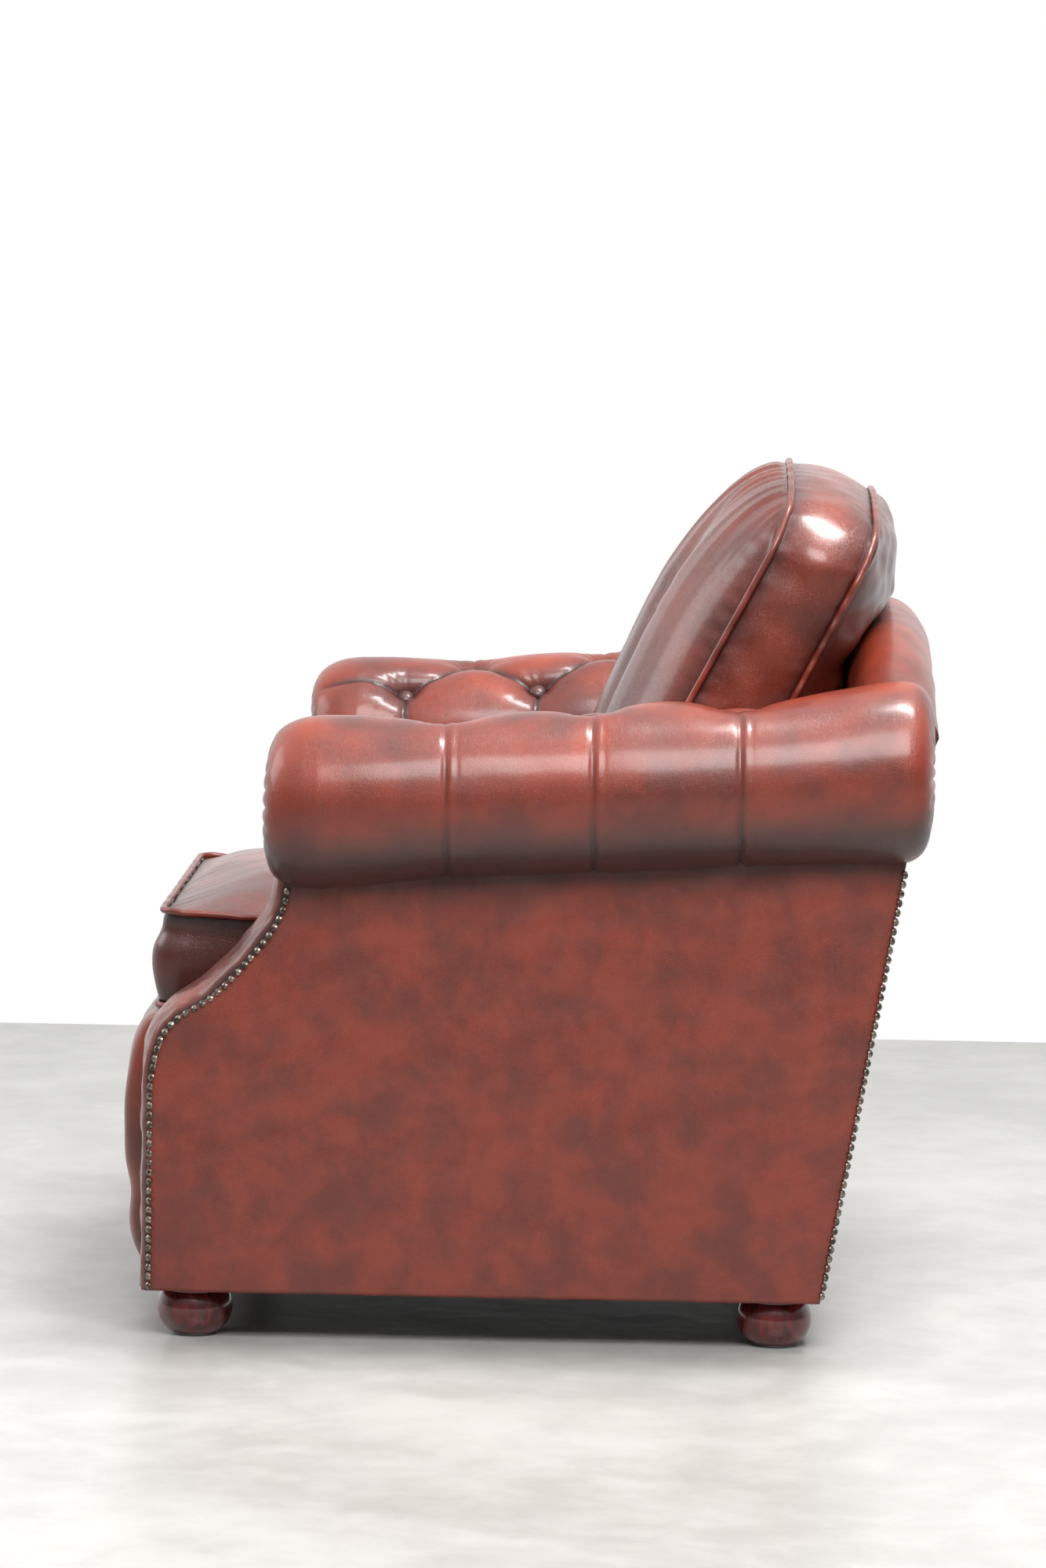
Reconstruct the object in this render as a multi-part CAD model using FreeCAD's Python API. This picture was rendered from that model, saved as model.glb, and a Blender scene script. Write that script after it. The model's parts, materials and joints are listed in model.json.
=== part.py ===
"""Chesterfield armchair: rolled, buttoned arms, a loose seat cushion and a loose back pillow on bun feet.

Millimetres. +Z is up, the sitter faces -Y and +X is the sitter's left. The origin is on the floor, under the
middle of the chair. Each function makes one sub-part, and the left arm's pieces are mirrored to the right.
"""
import FreeCAD
import Part
import math
import os

# Body, seen from the side
BODY_BOTTOM = 58.0
BODY_FRONT_Y = -428.0
BODY_BASE_DEPTH = 776.0
BACK_LEAN_DEG = 9.85
SHOULDER_Z = 270.0
# The swept front edge of an arm, as shares of the way forward and down from the roll to the shoulder
FRONT_SWEEP = [(0.0, 0.0), (0.045, 0.127), (0.18, 0.258), (0.372, 0.392), (0.583, 0.512), (0.80, 0.596),
               (0.936, 0.704), (0.987, 0.846), (1.0, 1.0)]

# Body, seen from the front
SEAT_WIDTH = 594.0
ARM_THICKNESS = 128.0
LEATHER = 2.5
BOARD = 12.0
CLEAR = 0.3

# Arm rolls
ROLL_RADIUS = 100.0
ROLL_SET_IN = 25.0
ROLL_FRONT_Y = -302.0
ROLL_LENGTH = 767.0
ROLL_FRONT_Z = 627.0
ROLL_RISE = 45.0
ARM_FRONT_STEP = 30.0
BATTEN_POINTS = (1, 3, 5, 8)
FIRST_BUTTON = 209.0
BUTTON_PITCH = 167.5
ARM_BUTTON_COUNT = 3
CREST_DIP = 24.0
INNER_DIP = 18.0

# Back
BACK_FACE_Y = 372.0
BACK_FACE_Z = 740.0
INSIDE_BACK_SLOPE = 0.325
BACK_ROLL_REAR_Y = 471.0
BACK_ROLL_BOTTOM = 640.0
BACK_ROLL_MID_Z = 842.0
BACK_ROLL_ARCH = 77.0
BACK_ROLL_TUCK = 5.0
BACK_POST_WIDTH = 45.0
BACK_POST_DEPTH = 60.0
BACK_RAIL_DEPTH = 25.0
BACK_RAIL_HEIGHT = 60.0
BACK_RAIL_DROP = 20.0
LOWER_RAIL_DROP = 340.0
WEB_COUNT = 4
WEB_WIDTH = 50.0

# Seat
SEAT_RAKE_DEG = 3.0
SEAT_FRONT_Z = 367.0
SEAT_CUSHION_FRONT_Y = -432.0
SEAT_CUSHION_LENGTH = 664.0
SEAT_CUSHION_EDGE = 114.0
SEAT_CUSHION_CROWN = 46.0
SEAT_BASE_SEAM = 8.0
# The crown's height along the cushion, as shares of its length and of its full rise
SEAT_CROWN = [(0.0, 0.0), (0.06, 0.62), (0.18, 1.0), (0.38, 0.985), (0.6, 0.95), (0.83, 0.87), (0.95, 0.55),
              (1.0, 0.0)]
SEAT_CUSHION_GAP = 10.0
DECK_PAD = 18.0
SPRING_COUNT = 5
SPRING_WIRE = 3.8
SPRING_LOOP = 11.0
SPRING_HALF_WIDTH = 26.0

# Front border below the seat cushion
BORDER_FRONT_Y = -472.0
BORDER_TOP = 364.0
BORDER_BUTTON_Z = 152.0
BORDER_BUTTON_COUNT = 4
BORDER_DIP = 18.0

# Back pillow
PILLOW_SIDE_GAP = 10.0
PILLOW_TOP_Z = 1003.0
PILLOW_TOP_Y = 300.0
PILLOW_CORNER_DROP = 46.0
PILLOW_CROWN = 82.0
PILLOW_REST_Y = 62.0
PILLOW_BOXING = 114.0
PILLOW_KNEE_DROP = 130.0
PILLOW_BUTTON_SHARE = 0.3415

# Trim
PIPING_RADIUS = 4.0
NAIL_RADIUS = 4.8
NAIL_HEIGHT = 2.8
NAIL_PITCH = 11.0
BUTTON_RADIUS = 11.0
BUTTON_HEIGHT = 7.0

# Feet
FOOT_RADIUS = 44.0
FOOT_NECK_RADIUS = 37.0
FOOT_BASE_RADIUS = 27.0
FOOT_SIDE_SETBACK = 55.0
FOOT_FRONT_SETBACK = 49.0
FOOT_REAR_SETBACK = 51.0
GLIDE = 2.5
BOLT_RADIUS = 5.0
RAIL_HEIGHT = 60.0
RAIL = 25.0
REAR_RAIL_HEIGHT = 80.0

# Worked out from the sizes above
BODY_REAR_Y = BODY_FRONT_Y + BODY_BASE_DEPTH
INSIDE_X = SEAT_WIDTH / 2
OUTSIDE_X = INSIDE_X + ARM_THICKNESS
PILLOW_HALF_WIDTH = INSIDE_X - PILLOW_SIDE_GAP
PILLOW_BUTTON_X = PILLOW_HALF_WIDTH * PILLOW_BUTTON_SHARE
FOOT_X = OUTSIDE_X - FOOT_SIDE_SETBACK
SPRING_PITCH = SEAT_WIDTH / (SPRING_COUNT + 0.6)
ROLL_X = OUTSIDE_X - ROLL_SET_IN
BACK_ROLL_HALF = ROLL_X - BACK_ROLL_TUCK
BACK_RAIL_TOP = BACK_FACE_Z - BACK_RAIL_DROP
LOWER_RAIL_TOP = BACK_FACE_Z - LOWER_RAIL_DROP
WEB_PITCH = SEAT_WIDTH / (WEB_COUNT + 0.57)
ROLL_REAR_Y = ROLL_FRONT_Y + ROLL_LENGTH
ARM_FRONT_Y = ROLL_FRONT_Y + ARM_FRONT_STEP
OUTER_BOARD_X = OUTSIDE_X - LEATHER - BOARD
INNER_BOARD_X = INSIDE_X + LEATHER + 15.5
FOOT_FRONT_Y = BODY_FRONT_Y + FOOT_FRONT_SETBACK
FOOT_REAR_Y = BODY_REAR_Y - FOOT_REAR_SETBACK
SIN45 = math.sin(math.pi / 4)


def v(x, y, z):
    return FreeCAD.Vector(x, y, z)


def roll_z(y):
    """Height of an arm roll's centre line at y."""
    return ROLL_FRONT_Z + ROLL_RISE * (y - ROLL_FRONT_Y) / ROLL_LENGTH


def rear_y(z, inset=0.0):
    """The sloping plane of the outside back, or a plane inset in front of it."""
    return BODY_REAR_Y - inset + (z - BODY_BOTTOM) * math.tan(math.radians(BACK_LEAN_DEG))


def inside_back_y(z):
    """The inside back: sloping up to the roll, and upright on the roll itself."""
    return BACK_FACE_Y - max(0.0, BACK_FACE_Z - z) * INSIDE_BACK_SLOPE


def seat_top_z(y):
    """Height of the raked plane that the back pillow rests on, near the rear of the seat cushion's crown."""
    drop = (y - SEAT_CUSHION_FRONT_Y) * math.tan(math.radians(SEAT_RAKE_DEG))
    return SEAT_FRONT_Z + SEAT_CUSHION_EDGE + 0.85 * SEAT_CUSHION_CROWN - drop


def back_roll_top(x):
    """The back roll's arched top line."""
    return BACK_ROLL_MID_Z - BACK_ROLL_ARCH * min(1.0, abs(x) / BACK_ROLL_HALF) ** 2


def sweep_points(out=0.0):
    """The arm's front edge as (y, z) from the roll down to the body's bottom, moved out along its normal.

    out is a number, or a function of z for a strip whose thickness changes on the way down.
    """
    top_z = roll_z(ARM_FRONT_Y) - math.sqrt(ROLL_RADIUS ** 2 - ROLL_SET_IN ** 2)
    points = []
    for forward, down in FRONT_SWEEP:
        y = ARM_FRONT_Y + (BODY_FRONT_Y - ARM_FRONT_Y) * forward
        z = top_z + (SHOULDER_Z - top_z) * down
        points.append((y, z))
    points.append((BODY_FRONT_Y, BODY_BOTTOM))
    moved = []
    last = len(points) - 1
    for i, (y, z) in enumerate(points):
        before = points[max(0, i - 1)]
        after = points[min(last, i + 1)]
        dy, dz = after[0] - before[0], after[1] - before[1]
        if i in (0, last):
            dy, dz = 0.0, -1.0
        length = math.hypot(dy, dz)
        amount = out(z) if callable(out) else out
        moved.append((y + amount * dz / length, z - amount * dy / length))
    return moved


def spline(points):
    """A smooth edge through points."""
    curve = Part.BSplineCurve()
    curve.interpolate(points)
    return curve.toShape()


def front_edges(x, out=0.0):
    """The arm's front edge at x: a smooth sweep, then a straight drop to the bottom."""
    points = [v(x, y, z) for y, z in sweep_points(out)]
    curve = Part.BSplineCurve()
    curve.interpolate(Points=points[:-1], InitialTangent=v(0, 0, -1), FinalTangent=v(0, 0, -1))
    return [curve.toShape(), Part.makeLine(points[-2], points[-1])], points[0], points[-1]


def line(*points):
    return [Part.makeLine(a, b) for a, b in zip(points, points[1:])]


def arc(a, b, c):
    return Part.Arc(a, b, c).toShape()


def cord(points, turn, closed=False):
    """Piping along straight runs that are joined by arcs, each starting turn before its corner."""
    if closed:
        middle = (points[0] + points[1]) * 0.5
        points = [middle] + points[1:] + [points[0], middle]
    edges, at = [], points[0]
    for before, corner, after in zip(points, points[1:], points[2:]):
        come, go = (corner - before).normalize(), (after - corner).normalize()
        angle = come.getAngle(go)
        reach = min(turn, 0.45 * (corner - before).Length, 0.45 * (after - corner).Length)
        a, b = corner - come * reach, corner + go * reach
        bend = corner + (go - come).normalize() * reach * math.tan(angle / 4) if angle > 0.002 else corner
        edges += line(at, a) + ([arc(a, bend, b)] if angle > 0.002 else line(a, b))
        at = b
    edges += line(at, points[-1])
    profile = Part.Wire(Part.makeCircle(PIPING_RADIUS, points[0], points[1] - points[0]))
    return Part.Wire(edges).makePipeShell([profile], True, False)


def prism(edges, direction):
    return Part.Face(Part.Wire(edges)).extrude(direction)


def box(x0, x1, y0, y1, z0, z1):
    return Part.makeBox(x1 - x0, y1 - y0, z1 - z0, v(x0, y0, z0))


def leaning_box(x0, x1, front_inset, back_inset, z0, z1):
    """A box between two planes that lean with the outside back."""
    corners = [v(x0, rear_y(z0, front_inset), z0), v(x0, rear_y(z0, back_inset), z0),
               v(x0, rear_y(z1, back_inset), z1), v(x0, rear_y(z1, front_inset), z1)]
    return prism(line(*corners, corners[0]), v(x1 - x0, 0, 0))


def mirrored(shape):
    return shape.mirror(v(0, 0, 0), v(1, 0, 0))


def both_sides(shape):
    return Part.makeCompound([shape, mirrored(shape)])


def save(name, shape):
    """Writes one node, after testing that its solids are sound."""
    solids = shape.Solids
    if not solids or not all(s.isValid() and s.Volume > 0 for s in solids):
        raise ValueError(f"{name} is not a sound solid")
    kept = solids[0] if len(solids) == 1 else Part.makeCompound(solids)
    kept.exportStep(f"parts/{name}.step")
    print(name, len(solids), round(kept.Volume / 1000.0, 1), "cm3")


def save_pair(name, left):
    save(f"{name}_left", left)
    save(f"{name}_right", mirrored(left))


# Arms


def side_outline(x, thick, bottom, top_drop, rear_inset, front_inset=0.0):
    """A flat panel of an arm: swept front, sloping rear, and a top that follows the roll."""
    front, top_front, bottom_front = front_edges(x, -front_inset)
    start = v(x, top_front.y, roll_z(top_front.y) - top_drop)
    rear_top_z = roll_z(ROLL_REAR_Y) - top_drop
    edges = line(start, top_front) + front
    corners = [bottom_front]
    if bottom != BODY_BOTTOM:
        low = v(x, bottom_front.y, bottom)
        corners.append(low)
    corners.append(v(x, rear_y(bottom, rear_inset), bottom))
    corners.append(v(x, rear_y(rear_top_z, rear_inset), rear_top_z))
    corners.append(start)
    return prism(edges + line(*corners), v(thick, 0, 0))


def roll_section(y, radius, crest_dip=0.0, inner_dip=0.0):
    """A near circle across the roll, of four arcs, drawn in at the crest or at the inner shoulder."""
    z = roll_z(y)
    near = radius * SIN45
    inner = (radius - inner_dip) * SIN45
    a = v(ROLL_X - radius, y, z)
    b = v(ROLL_X, y, z + radius - crest_dip)
    c = v(ROLL_X + radius, y, z)
    d = v(ROLL_X, y, z - radius)
    return Part.Wire([
        arc(a, v(ROLL_X - inner, y, z + inner - 0.35 * crest_dip), b),
        arc(b, v(ROLL_X + near, y, z + near - 0.35 * crest_dip), c),
        arc(c, v(ROLL_X + near, y, z - near), d),
        arc(d, v(ROLL_X - near, y, z - near), a)])


def crest_button_y(i):
    return ROLL_FRONT_Y + FIRST_BUTTON + i * BUTTON_PITCH


def roll_solid(inset=0.0):
    """The padded roll, full between the buttons, with domed ends. inset gives its lining and its foam."""
    r = ROLL_RADIUS - inset
    front, rear = ROLL_FRONT_Y + inset, ROLL_REAR_Y - inset
    sections = [roll_section(front, 0.60 * r), roll_section(front + 5, 0.79 * r),
                roll_section(front + 18, 0.92 * r), roll_section(front + 42, 0.99 * r)]
    for i in range(ARM_BUTTON_COUNT):
        y = crest_button_y(i)
        sections.append(roll_section(y - BUTTON_PITCH / 2, r, 3.0, INNER_DIP))
        sections.append(roll_section(y, r, CREST_DIP))
    last = crest_button_y(ARM_BUTTON_COUNT - 1)
    sections.append(roll_section(last + BUTTON_PITCH / 2, r, 0.0, INNER_DIP))
    sections += [roll_section(rear - 36, 0.99 * r, -4.0), roll_section(rear - 14, 0.92 * r, -4.0),
                 roll_section(rear - 4, 0.79 * r), roll_section(rear, 0.60 * r)]
    return Part.makeLoft(sections, True, False)


def roll_slot():
    """The way in under the roll for the arm's boards: from the inside face to the outside leather."""
    low = roll_z(ROLL_FRONT_Y) - 2 * ROLL_RADIUS
    rear = rear_y(roll_z(ROLL_REAR_Y)) + CLEAR
    corners = [v(INSIDE_X - 1, ARM_FRONT_Y - 1, low), v(INSIDE_X - 1, ARM_FRONT_Y - 1, roll_z(ARM_FRONT_Y)),
               v(INSIDE_X - 1, rear, roll_z(rear)), v(INSIDE_X - 1, rear, low)]
    return prism(line(*corners, corners[0]), v(OUTSIDE_X - INSIDE_X + 1 + CLEAR, 0, 0))


def arm_roll_leather():
    return roll_solid().cut(roll_solid(LEATHER)).cut(roll_slot())


def outer_board():
    return side_outline(OUTER_BOARD_X, BOARD, BODY_BOTTOM, 50.0, LEATHER + CLEAR)


def inner_board():
    return side_outline(INNER_BOARD_X, BOARD, BODY_BOTTOM, 30.0, LEATHER + CLEAR + BACK_POST_DEPTH + 1)


def outside_arm_leather():
    return side_outline(OUTSIDE_X - LEATHER, LEATHER, BODY_BOTTOM, 70.0, 0.0)


def deck_z(y):
    return SEAT_FRONT_Z - CLEAR - (y - SEAT_CUSHION_FRONT_Y) * math.tan(math.radians(SEAT_RAKE_DEG))


def inside_arm_panel(x, thick):
    """A panel of the inside arm, from under the seat cushion up to the roll and back to the inside back."""
    front, top_front, _ = front_edges(x)
    low = deck_z(BODY_FRONT_Y) - DECK_PAD
    low_rear = deck_z(BODY_REAR_Y) - DECK_PAD
    top_rear = roll_z(BACK_FACE_Y) - 1
    start = v(x, top_front.y, roll_z(top_front.y) - 1)
    corners = [v(x, BODY_FRONT_Y, BODY_BOTTOM), v(x, rear_y(BODY_BOTTOM), BODY_BOTTOM),
               v(x, rear_y(top_rear), top_rear), start]
    panel = prism(line(start, top_front) + front + line(*corners), v(thick, 0, 0))
    keep = [v(x - 1, BODY_FRONT_Y - 1, low), v(x - 1, inside_back_y(low_rear) - CLEAR, low_rear),
            v(x - 1, inside_back_y(BACK_FACE_Z) - CLEAR, BACK_FACE_Z),
            v(x - 1, BODY_FRONT_Y - 1, BACK_FACE_Z)]
    return panel.common(prism(line(*keep, keep[0]), v(thick + 2, 0, 0)))


def arm_top_rail():
    """The hardwood rail that the roll is stuffed over, fixed to the outer board."""
    front, rear = ROLL_FRONT_Y + 40, ROLL_REAR_Y - 110
    x0, x1 = OUTER_BOARD_X - 50, OUTER_BOARD_X
    corners = [v(x0, front, roll_z(front) - 48), v(x0, front, roll_z(front) + 4),
               v(x0, rear, roll_z(rear) + 4), v(x0, rear, roll_z(rear) - 48)]
    return prism(line(*corners, corners[0]), v(x1 - x0, 0, 0))


def scroll_disc():
    """The round board behind the pleated front of the roll."""
    y = ROLL_FRONT_Y + 22
    disc = Part.makeCylinder(ROLL_RADIUS - 28, 15, v(ROLL_X, y, roll_z(y)), v(0, 1, 0))
    return disc.cut(box(INNER_BOARD_X - 1, OUTER_BOARD_X + BOARD + 1, ARM_FRONT_Y - CLEAR, y + 16, 0, 2000))


def arm_battens():
    """Short cross battens that join the two boards behind the swept front, one at each point of the sweep."""
    bars = []
    points = sweep_points(-RAIL * 0.6)
    width = OUTER_BOARD_X - INNER_BOARD_X - BOARD
    for i in BATTEN_POINTS:
        (y, z), after = points[i], points[i + 1]
        dy, dz = after[0] - y, after[1] - z
        angle = math.degrees(math.atan2(-dy, -dz))
        bar = Part.makeBox(width, 18, 44, v(INNER_BOARD_X + BOARD, y - 2, z - 40))
        bar.rotate(v(INNER_BOARD_X, y, z), v(1, 0, 0), -angle)
        bars.append(bar)
    return Part.makeCompound(bars)


def arm_roll_foam(frame):
    """The roll's foam, cut to go round the rail, the boards and the disc."""
    foam = roll_solid(LEATHER + CLEAR)
    low = roll_z(ROLL_FRONT_Y) - 3 * ROLL_RADIUS
    for piece in frame:
        foam = foam.cut(piece)
    gap = box(INSIDE_X - 1, OUTSIDE_X + CLEAR, ROLL_FRONT_Y, ROLL_REAR_Y, low, roll_z(ROLL_FRONT_Y) - 50)
    return max(foam.cut(gap).Solids, key=lambda s: s.Volume)


def facing_crown(z):
    """How far the facing stands out: fuller on the sweep than on the straight below it."""
    share = min(1.0, max(0.0, (z - SHOULDER_Z) / 130.0))
    return 12.0 + 7.0 * share


def arm_facing():
    """The padded strip down the arm's front, domed across its width."""
    inner, outer = INSIDE_X + 2 * PIPING_RADIUS + 1, OUTSIDE_X - 4
    sections = []
    for share, fullness in ((0.0, 0.25), (0.18, 0.8), (0.5, 1.0), (0.82, 0.75), (1.0, 0.2)):
        x = inner + (outer - inner) * share
        front, top, bottom = front_edges(x, lambda z: fullness * facing_crown(z))
        back, back_top, back_bottom = front_edges(x, CLEAR)
        sections.append(Part.Wire(line(back_top, top) + front + line(bottom, back_bottom) + back))
    return Part.makeLoft(sections, True, False)


def facing_piping():
    """The piping between the facing and the inside arm."""
    x = INSIDE_X + PIPING_RADIUS + CLEAR
    return cord([v(x, y, z) for y, z in sweep_points(PIPING_RADIUS + 3.2)], 10.0)


def dome(radius, height):
    """A cap of a sphere with a flat base, standing on z = 0."""
    ball = (radius ** 2 + height ** 2) / (2 * height)
    start = math.degrees(math.asin((ball - height) / ball))
    return Part.makeSphere(ball, v(0, 0, height - ball), v(0, 0, 1), start, 90, 360)


def placed(shape, at, axis):
    """A copy of shape with its +Z turned to axis and its origin moved to at."""
    copy = shape.copy()
    copy.Placement = FreeCAD.Placement(at, FreeCAD.Rotation(v(0, 0, 1), axis))
    return copy


def along(edges, pitch):
    """Points a pitch apart along edges, with the direction of travel at each."""
    path = Part.Wire(edges)
    count = int(path.Length / pitch)
    spacing = path.Length / count
    found = []
    for edge in path.OrderedEdges:
        found.append((edge, edge.Length))
    result = []
    for i in range(count):
        distance = (i + 0.5) * spacing
        for edge, length in found:
            if distance <= length:
                parameter = edge.getParameterByLength(distance)
                result.append((edge.valueAt(parameter), edge.tangentAt(parameter)))
                break
            distance -= length
    return result


def arm_front_nails():
    """Round-headed nails along the corner between the outside arm and its facing."""
    edges = front_edges(OUTSIDE_X, 1.0)[0]
    nail = dome(NAIL_RADIUS, NAIL_HEIGHT)
    nails = []
    for point, tangent in along(edges, NAIL_PITCH):
        forward = v(0, tangent.z, -tangent.y)
        if forward.y > 0:
            forward = forward * -1
        axis = (v(1, 0, 0) + forward).normalize()
        nails.append(placed(nail, point + axis * CLEAR, axis))
    return Part.makeCompound(nails)


def back_nails():
    """Nails down both edges of the outside back."""
    top = roll_z(ROLL_REAR_Y) - ROLL_RADIUS - 8
    low = BODY_BOTTOM + 4
    edges = line(v(OUTSIDE_X, rear_y(low) + 1, low), v(OUTSIDE_X, rear_y(top) + 1, top))
    nail = dome(NAIL_RADIUS, NAIL_HEIGHT)
    axis = v(0.55, 0.83, 0).normalize()
    nails = [placed(nail, point + axis * CLEAR, axis) for point, _ in along(edges, NAIL_PITCH)]
    return both_sides(Part.makeCompound(nails))


def button():
    """A leather-covered button: a low dome over a shallow back."""
    shoulder = v(BUTTON_RADIUS * 0.75, 0, BUTTON_HEIGHT * 0.72)
    profile = [arc(v(0, 0, BUTTON_HEIGHT), shoulder, v(BUTTON_RADIUS, 0, 2)),
               arc(v(BUTTON_RADIUS, 0, 2), v(BUTTON_RADIUS * 0.8, 0, 0.4), v(BUTTON_RADIUS * 0.5, 0, 0))]
    edges = profile + line(v(BUTTON_RADIUS * 0.5, 0, 0), v(0, 0, 0), v(0, 0, BUTTON_HEIGHT))
    return Part.Face(Part.Wire(edges)).revolve(v(0, 0, 0), v(0, 0, 1), 360)


def arm_buttons():
    """A row on the crest, a row between them on the inner shoulder, and one in the middle of the scroll."""
    one = button()
    placed_buttons = []
    for i in range(ARM_BUTTON_COUNT):
        y = crest_button_y(i)
        crest = v(ROLL_X, y, roll_z(y) + ROLL_RADIUS - CREST_DIP + (4.4 if i == 0 else 3.2))
        placed_buttons.append(placed(one, crest, v(0, 0, 1)))
    for i in range(ARM_BUTTON_COUNT):
        y = crest_button_y(i) - BUTTON_PITCH / 2
        reach = (ROLL_RADIUS - INNER_DIP) * SIN45
        shoulder = v(ROLL_X - reach - 1.5, y, roll_z(y) + reach + 1.5)
        placed_buttons.append(placed(one, shoulder, v(-1, 0, 1)))
    front = v(ROLL_X, ROLL_FRONT_Y - CLEAR, roll_z(ROLL_FRONT_Y))
    placed_buttons.append(placed(one, front, v(0, -1, 0)))
    return Part.makeCompound(placed_buttons)


# Front border


def border_section(x, dip, inset=0.0, foot=0.0):
    """The border's side view at x: two bulges with the button row drawn in between them."""
    back = BODY_FRONT_Y + RAIL / 2
    low, high = BODY_BOTTOM + inset - foot, BORDER_TOP - inset
    waist = BORDER_FRONT_Y + dip + inset
    low_mid = (low + BORDER_BUTTON_Z) / 2
    high_mid = (high + BORDER_BUTTON_Z) / 2
    start = v(x, BODY_FRONT_Y - 8 + inset * 0.3, low)
    middle = v(x, waist, BORDER_BUTTON_Z)
    end = v(x, BODY_FRONT_Y - 6 + inset * 0.3, high)
    edges = [arc(start, v(x, BORDER_FRONT_Y + 6 + dip * 0.4 + inset, low_mid - 10), middle),
             arc(middle, v(x, BORDER_FRONT_Y + dip * 0.4 + inset, high_mid - 10), end)]
    return Part.Wire(edges + line(end, v(x, back + foot, high), v(x, back + foot, low), start))


def border_button_x(i):
    return (i + 0.5) * SEAT_WIDTH / BORDER_BUTTON_COUNT - SEAT_WIDTH / 2


def border_solid(inset=0.0, foot=0.0):
    half = INSIDE_X - CLEAR - inset
    step = SEAT_WIDTH / BORDER_BUTTON_COUNT
    stations = [(-half, 16.0), (-half + 12, 8.0)]
    for i in range(BORDER_BUTTON_COUNT):
        x = border_button_x(i)
        stations.append((x, BORDER_DIP))
        if i < BORDER_BUTTON_COUNT - 1:
            stations.append((x + step / 2, 3.0))
    stations += [(half - 12, 8.0), (half, 16.0)]
    return Part.makeLoft([border_section(x, dip, inset, foot) for x, dip in stations], True, False)


def front_border_buttons():
    one = button()
    y = BORDER_FRONT_Y + BORDER_DIP - 3.7
    spots = [v(border_button_x(i), y, BORDER_BUTTON_Z) for i in range(BORDER_BUTTON_COUNT)]
    return Part.makeCompound([placed(one, at, v(0, -1, 0)) for at in spots])


# Base frame


def front_rail():
    half = INNER_BOARD_X
    y = BODY_FRONT_Y + RAIL / 2
    return box(-half, half, y, y + RAIL, BODY_BOTTOM, deck_z(y + 2) - DECK_PAD - SPRING_WIRE * 2)


def side_rail():
    """The bottom rail inside the outer board, between the two corner blocks' ends."""
    x1 = OUTER_BOARD_X
    rear = BODY_REAR_Y - BACK_POST_DEPTH - 10
    return box(x1 - RAIL, x1, BODY_FRONT_Y + 10, rear, BODY_BOTTOM, BODY_BOTTOM + RAIL_HEIGHT)


def corner_block(foot_y):
    """The block that takes a foot's bolt, with a stepped hole for the bolt and its tee nut."""
    x0, x1 = INNER_BOARD_X + BOARD, OUTER_BOARD_X - RAIL
    block = box(x0, x1, foot_y - 40, foot_y + 40, BODY_BOTTOM, BODY_BOTTOM + 40)
    hole = Part.makeCylinder(BOLT_RADIUS + 0.2, 60, v(FOOT_X, foot_y, BODY_BOTTOM - 5))
    seat = Part.makeCylinder(BOLT_RADIUS + 2.2, 20, v(FOOT_X, foot_y, BODY_BOTTOM + 28))
    return block.cut(hole).cut(seat)


def corner_blocks():
    pair = Part.makeCompound([corner_block(FOOT_FRONT_Y), corner_block(FOOT_REAR_Y)])
    return both_sides(pair)


def rear_rail():
    """The bottom rail across the back, between the corner blocks."""
    half = INNER_BOARD_X
    return leaning_box(-half, half, RAIL + LEATHER + CLEAR, LEATHER + CLEAR, BODY_BOTTOM,
                       BODY_BOTTOM + REAR_RAIL_HEIGHT)


def spring_rear_y():
    return inside_back_y(deck_z(BACK_FACE_Y)) + 20


def spring_rail():
    """The rail that the springs' rear ends hang on, between the inner boards."""
    y = spring_rear_y()
    top = deck_z(y + 6) - DECK_PAD - SPRING_WIRE * 2
    return box(-INNER_BOARD_X, INNER_BOARD_X, y, y + RAIL, top - 70, top)


def spring():
    """One sinuous spring: half turns joined by straight bars, from the front rail to the rear rail."""
    y = BODY_FRONT_Y + RAIL / 2 + 8
    end = spring_rear_y() + 12
    count = int((end - y) / (2 * SPRING_LOOP))
    loop = (end - y) / count / 2
    bar = SPRING_HALF_WIDTH - loop
    side = 1
    edges = line(v(0, y, 0), v(bar, y, 0))
    for _ in range(count):
        turn = v(side * (bar + loop), y + loop, 0)
        edges.append(arc(v(side * bar, y, 0), turn, v(side * bar, y + 2 * loop, 0)))
        y += 2 * loop
        last = y > end - loop
        target = 0 if last else -side * bar
        edges += line(v(side * bar, y, 0), v(target, y, 0))
        side = -side
    start = edges[0].Vertexes[0].Point
    profile = Part.Wire(Part.makeCircle(SPRING_WIRE / 2, start, v(1, 0, 0)))
    return Part.Wire(edges).makePipeShell([profile], True, False)


def spring_x(i):
    return (i - (SPRING_COUNT - 1) / 2) * SPRING_PITCH


def laid_on_rake(shape, y, z):
    """Turns a piece drawn flat at z = 0 to the seat's rake, about the line at y, and lifts it to z."""
    copy = shape.copy()
    copy.rotate(v(0, y, 0), v(1, 0, 0), -SEAT_RAKE_DEG)
    copy.translate(v(0, 0, z))
    return copy


def seat_springs():
    one = spring()
    y = BODY_FRONT_Y + RAIL / 2
    z = deck_z(y) - DECK_PAD - SPRING_WIRE / 2 - 1.6
    laid = laid_on_rake(one, y, z)
    copies = []
    for i in range(SPRING_COUNT):
        copy = laid.copy()
        copy.translate(v(spring_x(i), 0, 0))
        copies.append(copy)
    return Part.makeCompound(copies)


def spring_clip(y):
    """A folded steel clip over a spring's end bar: a strap under it, nailed to the rail."""
    z = deck_z(y) - DECK_PAD - SPRING_WIRE * 2
    return box(-8, 8, y, y + 14, z, z + 1.2)


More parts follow.
